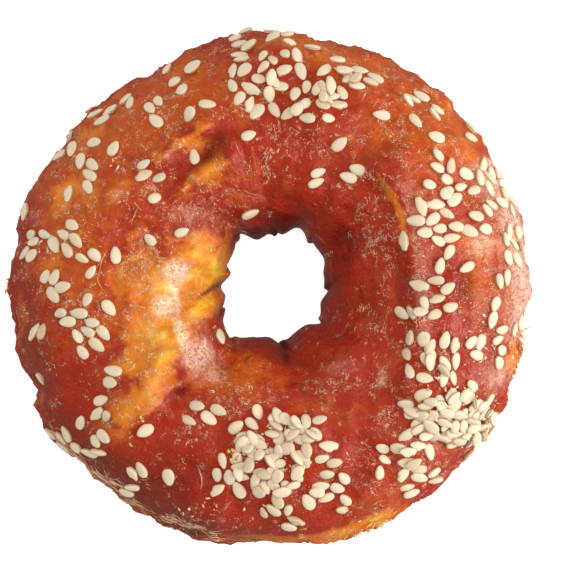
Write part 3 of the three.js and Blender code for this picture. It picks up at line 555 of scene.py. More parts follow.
def place_seeds():
    """Each seed as (angle, angle round the tube, heading, size, layer), drawn as the solid's seeds are."""
    draw = make_draw(SEED_DRAW)
    taken = [[] for _ in range(PILE_LAYERS)]
    seeds = []

    def add_seed(x, y, heading):
        angle, tube = ring_place(x, y)
        way = math.radians(heading) - angle - TURN / 4 + (TURN / 2 if draw() < 0.5 else 0)
        size = SMALLEST_SEED + SEED_SPREAD * draw()
        ends = seed_ends(angle, tube, way)
        layer = free_layer(taken, ends)
        if layer is None:
            return 0
        taken[layer].append(ends)
        seeds.append((angle, tube, way, size, layer))
        return 1

    for x, y, heading in LONE_SEEDS:
        add_seed(x, y, heading)
    for x, y, long, wide, turn, wanted, heading, spread in SEED_PATCHES:
        made = tries = 0
        while made < wanted and tries < wanted * TRIES:
            way = draw() * TURN
            far = math.sqrt(draw())
            along, across = long * far * math.cos(way), wide * far * math.sin(way)
            stray = spread * (2 * draw() - 1)
            made += add_seed(*turned(x, y, along, across, math.radians(turn)), heading + stray)
            tries += 1
    return seeds


def settle(seeds):
    """Slides each upper seed that lies outside the piles down to the nearest free place on the crust."""
    lowest = [seed_ends(*seed[:3]) for seed in seeds if seed[4] == 0]
    settled = []
    for angle, tube, way, size, layer in seeds:
        x, y, _ = crust_points(angle, tube)
        in_pile = any(math.hypot((x - px) / long, (y - py) / wide) < 1 for px, py, long, wide in PILES)
        if layer > 0 and not in_pile:
            for step in range(SLIDE_TRIES):
                far, turn = SLIDE_STEP * math.sqrt(step), step * GOLDEN_ANGLE
                at_x, at_y = x + far * math.cos(turn), y + far * math.sin(turn)
                new_angle, new_tube = ring_place(at_x, at_y)
                ends = seed_ends(new_angle, new_tube, way)
                if has_room(lowest, ends, SLIDE_ROOM):
                    angle, tube, layer = new_angle, new_tube, 0
                    lowest.append(ends)
                    break
        settled.append((angle, tube, way, size, layer))
    return settled


# ---- Finer relief and colour masks, over many points at once ----
WAVES_FROM, WAVES_TO = 1.3, 2.6  # wave lengths in a ripple, as shares of its features' length


def ripple(points, length, start, waves=36):
    """Smooth noise of about -1 to 1, with features of that length, as a sum of waves in all directions."""
    rng = np.random.default_rng(start)
    ways = unit(rng.normal(size=(waves, 3)))
    lengths = length * rng.uniform(WAVES_FROM, WAVES_TO, waves)
    phases = rng.uniform(0, TURN, waves)
    total = np.zeros(len(points))
    for way, wave_length, phase in zip(ways, lengths, phases):
        total += np.cos(points @ way * (TURN / wave_length) + phase)
    return total / math.sqrt(waves)


def pleats(angle, tube, start, waves=28, fewest=22, most=70):
    """Noise drawn out across the ring, as the pleats of a wound strip are."""
    rng = np.random.default_rng(start)
    total = np.zeros_like(angle)
    for _ in range(waves):
        turns, twist = rng.integers(fewest, most), rng.integers(-3, 4)
        total += np.cos(turns * angle + twist * tube + rng.uniform(0, TURN))
    return total / math.sqrt(waves)


def sector(angle, direction, edge, full):
    """How far angles lie in a side of the ring, 0 to 1."""
    return smooth_step(edge, full, np.cos(angle - math.radians(direction)))


def bell(value, middle, width):
    return np.exp(-(((value - middle) / width) ** 2))


def patches(table, points):
    """How far each point lies in the table's patches, 0 to 1, on the upper side."""
    outside = np.ones(len(points))
    for x, y, long, wide, degrees, share in table:
        turn = math.radians(degrees)
        dx, dy = points[:, 0] - x, points[:, 1] - y
        along = (dx * math.cos(turn) + dy * math.sin(turn)) / long
        across = (dy * math.cos(turn) - dx * math.sin(turn)) / wide
        outside *= 1 - share * np.exp(-(along**2 + across**2))
    return (1 - outside) * smooth_step(*UPPER_SIDE, points[:, 2])


def lines(table, points):
    """How near each point lies to the table's lines, 0 to 1, on the upper side."""
    outside = np.ones(len(points))
    for line in table:
        outside *= 1 - fold_height(line, points[:, 0], points[:, 1])
    return (1 - outside) * smooth_step(*LINES_FADE, points[:, 2])


def both(first, second):
    """A mask of all that lies in either of two masks."""
    return 1 - (1 - first) * (1 - second)


# ---- Objects ----
def deselect():
    bpy.ops.object.select_all(action="DESELECT")


def take(name):
    """The object that an operator has just added, under its own name."""
    piece = bpy.context.active_object
    piece.name = piece.data.name = name
    return piece


def vertices_of(piece):
    flat = np.empty(len(piece.data.vertices) * 3)
    piece.data.vertices.foreach_get("co", flat)
    return flat.reshape(-1, 3)


def move_vertices(piece, points):
    piece.data.vertices.foreach_set("co", np.ascontiguousarray(points, dtype=np.float32).ravel())
    piece.data.update()


def give_values(mesh, name, values):
    """Stores one number for each vertex, for a material to read."""
    attribute = mesh.attributes.get(name) or mesh.attributes.new(name, "FLOAT", "POINT")
    attribute.data.foreach_set("value", np.ascontiguousarray(values, dtype=np.float32))


def dress(piece, material):
    """Gives a finished piece its material, and lets it ride on the bagel's body."""
    piece.data.materials.clear()
    piece.data.materials.append(material)
    piece.data.shade_smooth()
    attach(piece, BODY)


def join(name, copies):
    """Joins copies into one piece, with its place in its mesh."""
    deselect()
    for copy in copies:
        copy.select_set(True)
    bpy.context.view_layer.objects.active = copies[0]
    bpy.ops.object.join()
    bpy.ops.object.transform_apply(location=True, rotation=True, scale=True)
    return take(name)


def copy_of(shape, matrix, tint):
    """A copy of a shape with its own mesh, moved by the matrix, with one tint all over."""
    mesh = shape.data.copy()
    mesh.transform(matrix)
    give_values(mesh, "tint", np.full(len(mesh.vertices), tint))
    copy = bpy.data.objects.new(shape.name, mesh)
    bpy.context.scene.collection.objects.link(copy)
    return copy


def drop(shapes):
    for shape in shapes:
        bpy.data.objects.remove(shape)


def seat_on(tree, point, normal, lift):
    """The finished crust's point under a point of its formula, in metres, and its normal there."""
    start = Vector(point) * MM + Vector(normal) * SEAT_REACH
    place, facing, _, _ = tree.ray_cast(start, -Vector(normal), 2 * SEAT_REACH)
    if place is None:
        place, facing, _, _ = tree.find_nearest(Vector(point) * MM)
    return place + facing * lift, facing


def frame_at(place, normal, way):
    """A matrix at a place, with z along the normal and x as near to `way` as the surface allows."""
    z = Vector(normal).normalized()
    x = (Vector(way) - z * z.dot(Vector(way))).normalized()
    y = z.cross(x)
    turn = Matrix((x, y, z)).transposed().to_4x4()
    return Matrix.Translation(place) @ turn


def stand_on(tree, angle, tube, lift):
    """A matrix on the finished crust, with z along its normal and x round the ring."""
    normal, round_ring = crust_frames(np.array(angle), np.array(tube))
    place, facing = seat_on(tree, crust_points(angle, tube), normal, lift)
    return frame_at(place, facing, round_ring)


# ---- Materials ----
class Channel:
    """One value of a material's nodes. Sums on it add Math nodes."""

    def __init__(self, paint, socket):
        self.paint = paint
        self.socket = socket

    def _sum(self, operation, first, second):
        return self.paint.node("ShaderNodeMath", {"operation": operation}, {0: first, 1: second})

    def __add__(self, other):
        return self._sum("ADD", self, other)

    __radd__ = __add__

    def __sub__(self, other):
        return self._sum("SUBTRACT", self, other)

    def __rsub__(self, other):
        return self._sum("SUBTRACT", other, self)

    def __mul__(self, other):
        return self._sum("MULTIPLY", self, other)

    __rmul__ = __mul__

    def __truediv__(self, other):
        return self._sum("DIVIDE", self, other)

    def __rtruediv__(self, other):
        return self._sum("DIVIDE", other, self)

    def __pow__(self, other):
        return self._sum("POWER", self, other)

    def __rpow__(self, other):
        return self._sum("POWER", other, self)

    def between(self, low, high, start=0.0, end=1.0):
        """Runs smoothly from start to end as this value runs from low to high."""
        settings = {"interpolation_type": "SMOOTHSTEP"}
        return self.paint.node("ShaderNodeMapRange", settings, {0: self, 1: low, 2: high, 3: start, 4: end})


class Paint:
    """A material and the nodes in it."""

    def __init__(self, name):
        self.material = bpy.data.materials.new(name)
        self.material.use_nodes = True
        self.tree = self.material.node_tree
        self.tree.nodes.clear()

    def raw(self, kind, settings=None, inputs=None):
        """Adds a node, sets what it is, and then fills its sockets with values or links."""
        node = self.tree.nodes.new(kind)
        for name, value in (settings or {}).items():
            setattr(node, name, value)
        for key, value in (inputs or {}).items():
            if isinstance(key, str):
                socket = next(socket for socket in node.inputs if key in (socket.identifier, socket.name))
            else:
                socket = node.inputs[key]
            if isinstance(value, Channel):
                self.tree.links.new(value.socket, socket)
            else:
                socket.default_value = value
        return node

    def node(self, kind, settings=None, inputs=None, output=0):
        return Channel(self, self.raw(kind, settings, inputs).outputs[output])

    def value(self, name):
        """What the piece's mesh stores under that name."""
        return self.node("ShaderNodeAttribute", {"attribute_name": name}, output="Fac")

    def place(self):
        return self.node("ShaderNodeTexCoord", output="Object")

    def noise(self, size, detail=3.0, at=None, rough=0.5, distort=0.0):
        """Noise of 0 to 1 whose features are about that many metres."""
        inputs = {"Vector": at or self.place(), "Scale": 1 / size, "Detail": detail, "Roughness": rough,
                  "Distortion": distort}
        return self.node("ShaderNodeTexNoise", {"noise_dimensions": "3D"}, inputs)

    def mix(self, first, second, share):
        """From the first colour to the second, by a share."""
        inputs = {"Factor_Float": share, "A_Color": first, "B_Color": second}
        mixed = self.raw("ShaderNodeMix", {"data_type": "RGBA"}, inputs)
        return Channel(self, next(socket for socket in mixed.outputs if socket.identifier == "Result_Color"))

    def bump(self, height, distance, strength):
        inputs = {"Height": height, "Distance": distance, "Strength": strength}
        return self.node("ShaderNodeBump", None, inputs)

    def surface(self, **sockets):
        """The one shader of the material. Underscores in a socket's name stand for spaces."""
        inputs = {name.replace("_", " "): value for name, value in sockets.items()}
        shader = self.node("ShaderNodeBsdfPrincipled", None, inputs)
        self.raw("ShaderNodeOutputMaterial", None, {"Surface": shader})
        return self.material


def rgba(colour):
    return (*colour, 1.0)


def streaks(paint, across, along, way):
    """Noise of fine lines on the ring. They run round the ring, or over it, without a seam."""
    parts = paint.raw("ShaderNodeSeparateXYZ", None, {"Vector": paint.place()})
    x, y, z = (Channel(paint, socket) for socket in parts.outputs)
    radius = (x * x + y * y) ** 0.5 + NEARLY_NONE
    if way == "round":
        fine, slow = 1 / across, MEAN_RADIUS / along
        inputs = {0: radius * fine, 1: z * fine, 2: x / radius * slow}
        last = y / radius * slow
    else:
        fine, slow = MEAN_RADIUS / across, 1 / along
        inputs = {0: x / radius * fine, 1: y / radius * fine, 2: radius * slow}
        last = z * slow
    at = paint.node("ShaderNodeCombineXYZ", None, inputs)
    settings = {"noise_dimensions": "4D"}
    return paint.node("ShaderNodeTexNoise", settings, {"Vector": at, "W": last, "Scale": 1.0, "Detail": 2.0})


def hairs(paint, size, thin, distort):
    """Thin curling lines, 0 to 1: where a noise passes through its middle value."""
    field = paint.noise(size, 1.0, distort=distort)
    off_middle = paint.node("ShaderNodeMath", {"operation": "ABSOLUTE"}, {0: field - 0.5})
    return off_middle.between(0.0, thin, 1.0, 0.0)


def glaze(paint, look, mask, wander, fine):
    """The colours of the clear glaze, from red through amber to the gold that light shines through."""
    glow = mask["gold"] + wander * 0.6
    layers = [
        (look.orange, (mask["amber"] * 0.5 + wander * 1.3).between(0.5, 1.0)),
        (look.orange, glow.between(0.08, 0.5)),
        (look.gold, glow.between(0.4, 1.1)),
        (look.yellow, glow.between(0.72, 1.15)),
        # painted shade: deep red in creases, hollows and the hole
        (look.deep, (mask["deep"] + wander * 0.5).between(0.15, 0.95)),
        (look.crimson, (fine - mask["gold"] * 0.3).between(0.54, 0.66, 0, 0.8)),
        # partly brown tone, partly painted shade at the lower edge and underside
        (look.dusk, (mask["dusk"] + wander * 0.3).between(0.1, 0.9)),
    ]
    colour = paint.mix(rgba(look.red), rgba(look.amber), (mask["amber"] + wander).between(0.05, 0.95))
    for layer, share in layers:
        colour = paint.mix(colour, rgba(layer), share)
    return colour


def specks(paint, mask, mottle, patch, round_lines, over_lines):
    """Where pale specks, curls and fine lines lie in the skin, 0 to about 1: partly real specks and fibres,
    partly painted glints.
    """
    rich, shine = paint.noise(0.008, 2, distort=0.6), paint.noise(0.0011, 2).between(0.35, 0.65, 0.3, 1.2)
    dusty = paint.noise(0.0026, 3, distort=0.8) + (rich - 0.5) * 0.5
    dusty = dusty + mask["dust"] * 0.2 + mask["haze"] * 0.1
    clump = dusty.between(0.51, 0.68)
    speck = paint.noise(0.0006, 4, rough=0.75, distort=1.6).between(0.54, 0.61) * (0.1 + clump * 0.95)
    curls = hairs(paint, 0.0013, 0.04, 2.5) * dusty.between(0.52, 0.7)
    along = round_lines.between(0.54, 0.64) * (mottle.between(0.48, 0.58) * 0.35 + mask["hatch"] * 0.65)
    over = over_lines.between(0.57, 0.66) * patch.between(0.48, 0.58)
    return (speck + curls * 0.7 + along * 0.8 + over * 0.4) * shine


def crust_material(look):
    paint = Paint("glazed_crust")
    mask = {name: paint.value(name) for name in ("amber", "gold", "deep", "haze", "dusk", "dust", "hatch")}
    cloud, mottle = paint.noise(0.011, 3, distort=0.4), paint.noise(0.0042, 4, distort=0.8)
    patch, grain = paint.noise(0.0015, 4, distort=0.5), paint.noise(0.0005, 3)
    round_lines, over_lines = (streaks(paint, 0.0003, 0.004, way) for way in ("round", "over"))
    wander = (cloud - 0.5) * 1.1 + (mottle - 0.5) * 1.7 + (patch - 0.5) * 0.9
    colour = glaze(paint, look, mask, wander, mottle * 0.6 + patch * 0.4)
    # Painted sheen: where the light would glare on the glaze, a pale colour is painted over it, broken by a
    # fine net.
    net = paint.noise(0.0005, 3, rough=0.7, distort=0.8).between(0.42, 0.57)
    golden = (mask["gold"] + mask["amber"] * 0.2).between(0.2, 0.8)
    sheen = paint.mix(rgba(look.haze), rgba(look.gold_painted_sheen), golden)
    painted = (mask["haze"] * (0.1 + patch + mottle)).between(0.1, 1.1)
    colour = paint.mix(colour, sheen, painted * (0.2 + net * 0.8))
    # Pale specks and fibres, partly real and partly painted glints, fewer where the shade is painted.
    light = specks(paint, mask, mottle, patch, round_lines, over_lines)
    golden = (mask["amber"] * 0.6 + mask["gold"] + wander * 0.6).between(0.1, 0.8)
    pale = paint.mix(rgba(look.fleck_and_glint), rgba(look.straw), golden)
    colour = paint.mix(colour, pale, (light * (1 - mask["deep"] * 0.7)).between(0.15, 1.0))
    height = grain * 0.5 + round_lines * 0.25 + over_lines * 0.25 + patch * 0.7 + light * 0.2
    return paint.surface(
        Base_Color=colour, Roughness=0.22 + mask["haze"] * 0.2 + grain * 0.16, Specular_IOR_Level=0.5,
        Subsurface_Weight=0.25, Subsurface_Scale=0.0015, Subsurface_Radius=(1.0, 0.25, 0.1),
        Normal=paint.bump(height, 0.00045, 0.9),
    )


def seed_material(look):
    paint = Paint("sesame_hull")
    tint, rim = paint.value("tint"), paint.value("rim")
    patch, grain = paint.noise(0.0012, 3), paint.noise(0.00025, 2)
    colour = paint.mix(rgba(look.cream), rgba(look.toasted), (tint + (patch - 0.5) * 0.5).between(0.3, 1.2))
    # A darker line round each seed: partly its real rim, partly painted contact shade.
    colour = paint.mix(colour, rgba(look.rim), rim.between(0.84, 0.99) * 0.7)
    normal = paint.bump(grain * 0.5 + patch, 0.00012, 0.5)
    return paint.surface(
        Base_Color=colour, Roughness=0.45 + grain * 0.1, Specular_IOR_Level=0.4,
        Subsurface_Weight=0.15, Subsurface_Scale=0.0006, Subsurface_Radius=(1.0, 0.7, 0.4), Normal=normal,
    )


def bit_material(name, first, second, size):
    """A finish between two colours, by tint and noise, for crumbs, fibres and frayed ends."""
    paint = Paint(name)
    patch, grain = paint.noise(size, 3), paint.noise(size / 4, 2)
    share = (paint.value("tint") + (patch - 0.5) * 0.8).between(0.1, 0.9)
    colour = paint.mix(rgba(first), rgba(second), share)
    normal = paint.bump(grain + patch, size / 5, 0.6)
    return paint.surface(
        Base_Color=colour, Roughness=0.3 + grain * 0.2, Subsurface_Weight=0.2,
        Subsurface_Scale=0.001, Subsurface_Radius=(1.0, 0.5, 0.2), Normal=normal,
    )


# ---- What a user would change ----
def length(name, description, default):
    return FloatProperty(
        name=name, description=description, default=default, min=0, unit="LENGTH", precision=5
    )


def strength(name, description, default):
    return FloatProperty(name=name, description=description, default=default, min=0)


def count(name, description, default, least):
    return IntProperty(name=name, description=description, default=default, min=least)


def colour(name, description, default):
    return FloatVectorProperty(
        name=name, description=description, default=default, size=3, min=0, max=1, subtype="COLOR"
    )


class BAGEL_PG_crust(bpy.types.PropertyGroup):
    ring_steps: count("Ring steps", "Faces in one turn of the ring", 460, 40)
    tube_steps: count("Tube steps", "Faces in one turn of its thickness", 190, 20)
    wrinkles: length("Wrinkles", "Depth of the small wrinkles in the skin", 0.0003)
    pleats: length("Pleats", "Depth of the pleats across the ring", 0.00014)
    rolls: length("Rolls", "Depth of the rolls of skin on the right of the hole", 0.00012)
    red: colour("Red", "The crust's main colour", (0.37, 0.025, 0.007))
    crimson: colour("Crimson", "Small clear spots in the glaze", (0.27, 0.009, 0.006))
    amber: colour("Amber", "Where the glaze is thicker", (0.53, 0.090, 0.010))
    orange: colour("Orange", "The lightest spots of the glaze", (0.69, 0.18, 0.013))
    gold: colour("Gold", "On the thin folds that light shines through", (0.94, 0.42, 0.028))
    yellow: colour("Yellow", "The clearest part of the fold by the hole", (0.98, 0.66, 0.05))
    # Painted shade: the deep red stands for the shade in creases, hollows and the hole.
    deep: colour("Deep red", "In creases and by the hole", (0.13, 0.007, 0.004))
    # Partly the lower edge's brown tone, partly painted shade on the side turned from the light.
    dusk: colour("Dusk", "The brown band at the lower edge", (0.20, 0.028, 0.009))
    # Painted sheen: pale colours that stand for the light's glare on the glaze.
    haze: colour("Haze", "Where the skin has dried dull", (0.95, 0.62, 0.46))
    gold_painted_sheen: colour("Golden haze", "The same on the golden folds", (1.0, 0.86, 0.64))
    # Pale specks and fibres in the skin, partly real and partly painted glints.
    fleck_and_glint: colour("Flecks", "Light specks and fibres in the skin", (0.98, 0.57, 0.36))
    straw: colour("Straw", "The same in the golden parts", (1.0, 0.78, 0.42))


class BAGEL_PG_seeds(bpy.types.PropertyGroup):
    length: length("Length", "Length of a whole seed", 0.0033)
    width: length("Width", "Width of a whole seed", 0.00222)
    thickness: length("Thickness", "Thickness of a whole seed", 0.0009)
    sunk: length("Sunk", "How deep a seed of the lowest layer sits in the glaze", 0.0002)
    layer: length("Layer", "How much higher each further layer of a pile lies", 0.0006)
    cream: colour("Cream", "Hulled sesame", (0.76, 0.62, 0.43))
    toasted: colour("Toasted", "The browner seeds", (0.58, 0.38, 0.18))
    # Partly the seed's real rim, partly painted contact shade at its edge.
    rim: colour("Rim", "The thin line round each seed", (0.36, 0.17, 0.08))


class BAGEL_PG_bits(bpy.types.PropertyGroup):
    bundles: count("Bundles", "Bundles of fibres all over the upper side", 70, 1)
    fibre: length("Fibre thickness", "Radius of the thickest fibres", 0.00006)
    crumb: length("Crumb", "Size of a large crumb", 0.001)
    pink: colour("Pink", "Fibres on the red parts", (0.92, 0.54, 0.36))
    straw: colour("Straw", "Fibres and crumbs on the golden parts", (0.95, 0.62, 0.24))
    gold_end: colour("Gold", "The clearer frayed ends", (0.80, 0.45, 0.13))
    crumb_dark: colour("Brown", "The browner crumbs and frayed ends", (0.36, 0.12, 0.03))


class BAGEL_PG_stage(bpy.types.PropertyGroup):
    floor: length("Floor", "Width of the floor", 3.0)
    floor_colour: colour("Floor colour", "Plain pale floor", (0.94, 0.94, 0.94))
    camera: length("Camera", "Height of the camera over the floor", 0.7)
    aim: FloatVectorProperty(
        name="Aim", description="Where the camera looks, in plan", default=(0.00243, 0.00049), size=2,
        unit="LENGTH",
    )
    view: length("View", "Length of the picture's longer side at the ring's widest level", 0.11)
    key: strength("Key light", "Power of the softbox on the right, in watts", 3.6)
    fill: strength("Fill light", "Power of the light overhead, in watts", 13.0)
    edge: strength("Edge light", "Power of the weak light on the left, in watts", 0.3)
    ambient: strength("Ambient", "Strength of the light from all round", 0.15)
    floor_glow: strength("Floor glow", "How much light the floor gives off", 0.75)


# ---- The crust ----
def skin_relief(look, angle, tube):
    """How far the skin stands proud of the solid's relief, in millimetres."""
    smooth = crust_points(angle, tube)
    distance = np.hypot(smooth[:, 0], smooth[:, 1])
    out, up = np.cos(tube), np.sin(tube)
    waves = (1 - np.abs(ripple(smooth, *CREASES)), ripple(smooth, *WRINKLES), ripple(smooth, *FINE_WRINKLES))
    wrinkles = look.wrinkles / MM * sum(share * wave for share, wave in zip(WRINKLE_SHARES, waves))
    ring_pleats = look.pleats / MM * pleats(angle, tube, PLEATS_DRAW)
    ring_pleats = ring_pleats * (PLEATS_ON_RIGHT + MORE_ON_LEFT * sector(angle, *LEFT_SIDE))
    fine = (wrinkles + ring_pleats) * (CALM + (1 - CALM) * smooth_step(*CALM_BY_HOLE, distance))
    # On the right of the hole, small rolls of skin run round the ring.
    long_way = np.stack([distance, ROLL_STRETCH * np.cos(angle), ROLL_STRETCH * np.sin(angle)], -1)
    rolls = look.rolls / MM * ripple(long_way, *ROLLS) * sector(angle, *RIGHT_SIDE)
    rolls = rolls * smooth_step(*ROLLS_BEGIN, -out) * (1 - smooth_step(*ROLLS_END, -out))
    # A strip ends in a sharper edge than the solid's.
    across = strip_across(angle, tube)
    sharper = smooth_step(*SHARP_EDGE, across) - smooth_step(0, STRIP_EDGE, across)
    seam = sharper * STRIP_STEP * (1 - smooth_step(*STEPS_FADE, up))
    frayed = FRAY_DEPTH * np.abs(ripple(smooth, *FRAY)) + COARSE_FRAY_DEPTH * ripple(smooth, *COARSE_FRAY)
    frayed = frayed * smooth_step(*RIM, out) * (1 + FRAY_IN_GOLD * patches(GOLD_PATCHES, smooth))
    edges = sum(fold_height(edge, smooth[:, 0], smooth[:, 1]) for edge in SKIN_EDGES)
    return fine + rolls + seam + frayed + edges * smooth_step(*RELIEF_FADE, up)


def crust_masks(points, angle, tube):
    """Where each of the crust's colours lies, painted shade and painted sheen among them, 0 to 1, for its
    material to read.
    """
    moved = points + np.stack([ripple(points, *wave) * reach for wave, reach in WANDER], -1)
    across = strip_across(angle, tube)
    on_side = 1 - smooth_step(*STEPS_FADE, np.sin(tube))
    crease = bell(across, CREASE_PLACE, CREASE_WIDTH) * on_side
    thin_edge = bell(across, THIN_PLACE, THIN_WIDTH) * on_side
    # Painted shade: dark in the hole, less on its lit side and more on its far side, and in the crease below
    # each strip's edge.
    hole_shade = 1 - smooth_step(*HOLE_SHADE, np.hypot(moved[:, 0], moved[:, 1]))
    hole_shade = hole_shade * (1 - THROAT_GLOW * sector(angle, *LIT_SIDE)) * (1 + sector(angle, *FAR_SIDE)) / 2
    creases = both(hole_shade, 0.6 * crease)
    below = 1 - smooth_step(*BELOW, moved[:, 2])
    return {
        "gold": both(both(patches(GOLD_PATCHES, moved), lines(GOLD_LINES, points)), 0.3 * thin_edge),
        # painted shade in creases, hollows and the hole
        "deep": both(both(patches(DEEP_SHADE_PATCHES, moved), lines(DEEP_SHADE_LINES, points)), creases),
        "amber": both(patches(AMBER_PATCHES, moved), 0.5 * thin_edge),
        # painted sheen, where the light's glare is painted in
        "haze": both(patches(PAINTED_SHEEN_PATCHES, moved), lines(PAINTED_SHEEN_LINES, points)),
        # brown tone and painted shade, darker on the underside
        "dusk": both(patches(BROWN_AND_SHADE_PATCHES, moved), 0.5 * below),
        "dust": both(patches(DUST_PATCHES, moved), 0.4 * below),
        "hatch": patches(HATCH_PATCHES, moved),
    }


class BAGEL_OT_crust(bpy.types.Operator):
    """Winds the crust: a torus whose skin takes the ring's real form, with wrinkles and pleats"""

    bl_idname = "bagel.crust"
    bl_label = "Crust"

    def execute(self, context):
        look = context.scene.bagel_crust
        middle, half = (float(value) * MM for value in section_at(0.0))
        deselect()
        bpy.ops.mesh.primitive_torus_add(
            major_segments=look.ring_steps, minor_segments=look.tube_steps,
            major_radius=middle, minor_radius=half,
        )
        crust = take("bagel_crust")
        start = vertices_of(crust)
        angle = np.arctan2(start[:, 1], start[:, 0])
        tube = np.arctan2(start[:, 2], np.hypot(start[:, 0], start[:, 1]) - middle)
        tube = tube + ROW_SHIFT * np.cos(tube)
        points = crust_points(angle, tube, skin_relief(look, angle, tube))
        move_vertices(crust, points * MM)
        for name, mask in crust_masks(points, angle, tube).items():
            give_values(crust.data, name, mask)
        dress(crust, crust_material(look))
        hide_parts(NODE)
        return {"FINISHED"}


# ---- What lies on the crust ----
def crust_tree():
    """A search tree of the finished crust's faces."""
    crust = bpy.data.objects["bagel_crust"]
    return BVHTree.FromPolygons(
        [v.co.copy() for v in crust.data.vertices], [tuple(p.vertices) for p in crust.data.polygons]
    )


def whole_seed(look, name, narrow, taper):
    """A hulled sesame seed along x, with its tip at -x: a reshaped sphere with its poles at the ends."""
    deselect()
    bpy.ops.mesh.primitive_uv_sphere_add(segments=SEED_POINTS, ring_count=SEED_RINGS, radius=1)
    bpy.ops.transform.rotate(value=math.radians(90), orient_axis="Y", center_override=(0, 0, 0))
    bpy.ops.object.transform_apply(rotation=True)
    seed = take(name)
    co = vertices_of(seed)
    # The outline is a drop's, and the face is flatter than a ball's.
    along = co[:, 0]
    wide = np.sqrt(np.clip(1 - along**2, 0, 1)) * (1 + taper * along)
    wide = wide * np.where(along < 0, 1 - TIP_TAPER * along**2, 1.0)
    turn = np.arctan2(co[:, 2], co[:, 1])
    flat, side = signed_power(np.sin(turn), FACE_POWER), signed_power(np.cos(turn), SIDE_POWER)
    # Darker towards the sides and ends of each seed: its rim line, partly real and partly painted contact
    # shade.
    give_values(seed.data, "rim", np.maximum(np.abs(np.cos(turn)), along**2))
    move_vertices(seed, np.stack([
        along * look.length / 2,
        wide * side * look.width / 2 * narrow,
        wide**LENGTH_POWER * flat * look.thickness / 2,
    ], -1))
    return seed


class BAGEL_OT_seeds(bpy.types.Operator):
    """Presses the sesame seeds into the glaze, singly and in piles"""

    bl_idname = "bagel.seeds"
    bl_label = "Sesame seeds"

    def execute(self, context):
        look = context.scene.bagel_seeds
        shapes = [whole_seed(look, name, narrow, taper) for name, narrow, taper, _ in SEED_SHAPES]
        chances = [chance for *_, chance in SEED_SHAPES]
        ragged = shapes[-1]
        whole = vertices_of(ragged)
        torn = [ripple(whole / MM, TEAR_LENGTH, TEAR_DRAW + axis) for axis in range(3)]
        move_vertices(ragged, whole * (1 + TEAR * np.stack(torn, -1)))
        tree = crust_tree()
        rng = np.random.default_rng(SETTLING_DRAW)
        copies = []
        for angle, tube, heading, size, layer in settle(place_seeds()):
            lift = look.thickness * 0.5 - look.sunk + layer * look.layer
            matrix = stand_on(tree, angle, tube, lift) @ Matrix.Rotation(heading, 4, "Z")
            tilt = math.radians(SEED_TILT + LAYER_TILT * layer)
            for axis in "XY":
                matrix = matrix @ Matrix.Rotation(rng.normal(0, tilt), 4, axis)
            stretch = Matrix.Diagonal((size * rng.uniform(0.96, 1.06), size, rng.uniform(0.9, 1.1), 1))
            shape = shapes[rng.choice(len(shapes), p=chances)]
            copies.append(copy_of(shape, matrix @ stretch, rng.beta(1.4, 4)))
        drop(shapes)
        dress(join("sesame_seeds", copies), seed_material(look))
        return {"FINISHED"}


def lay_strands(name, starts, thickness, rng):
    """Strands on the crust. A start is (angle, tube, heading, length, curl, middle lift, end lift)."""
    tree = crust_tree()
    steps = len(STRAND_SHAPE)
    curve = bpy.data.curves.new(name, "CURVE")
    curve.dimensions, curve.use_fill_caps = "3D", True
    curve.bevel_depth, curve.bevel_resolution = thickness, 0
    angle, tube, heading, reach, curl, middle_lift, end_lift = (np.array(column) for column in zip(*starts))
    places, normals = [], []
    for _ in range(steps):
        places.append(crust_points(angle, tube))
        normals.append(crust_frames(angle, tube)[0])
        distance = np.hypot(places[-1][:, 0], places[-1][:, 1])
        angle = angle + reach / steps * np.cos(heading) / distance
        tube = tube + reach / steps * np.sin(heading) / RISE
        heading = heading + curl / steps
    for number in range(len(starts)):
        spline = curve.splines.new("POLY")
        spline.points.add(steps - 1)
        for step in range(steps):
            t = step / (steps - 1)
            lift = STRAND_LIFT + middle_lift[number] * math.sin(math.pi * t) + end_lift[number] * t**1.5
            place, _ = seat_on(tree, places[step][number], normals[step][number], 0)
            place = place + Vector(normals[step][number]) * lift * MM
            spline.points[step].co = (*place, 1)
            spline.points[step].radius = STRAND_SHAPE[step] * rng.uniform(0.5, 1.1)
    strands = bpy.data.objects.new(name, curve)
    bpy.context.scene.collection.objects.link(strands)
    deselect()
    strands.select_set(True)
    bpy.context.view_layer.objects.active = strands
    bpy.ops.object.convert(target="MESH")
    strands = take(name)
    each = len(strands.data.vertices) // len(starts)
    warm = patches(AMBER_PATCHES, places[0]) * 0.5 + patches(GOLD_PATCHES, places[0]) * 0.4
    give_values(strands.data, "tint", np.repeat(warm + rng.beta(1.2, 3.0, len(starts)) * 0.6, each))
    return strands


def anywhere_on_top(rng):
    """An angle and a place round the tube, anywhere on the upper side, even over its area."""
    while True:
        angle, share = rng.uniform(0, TURN), rng.uniform(0, 1)
        middle, half = (float(value) for value in section_at(angle))
        distance = middle - half + 2 * half * share
        if rng.uniform(0, middle + half) < distance:
            return angle, tube_angle(angle, distance)


def in_patch(rng, x, y, long, wide, degrees):
    """An angle and a place round the tube, in a patch given in plan."""
    way, far, turn = rng.uniform(0, TURN), math.sqrt(rng.uniform()), math.radians(degrees)
    along, across = long * far * math.cos(way), wide * far * math.sin(way)
    return ring_place(*turned(x, y, along, across, turn))


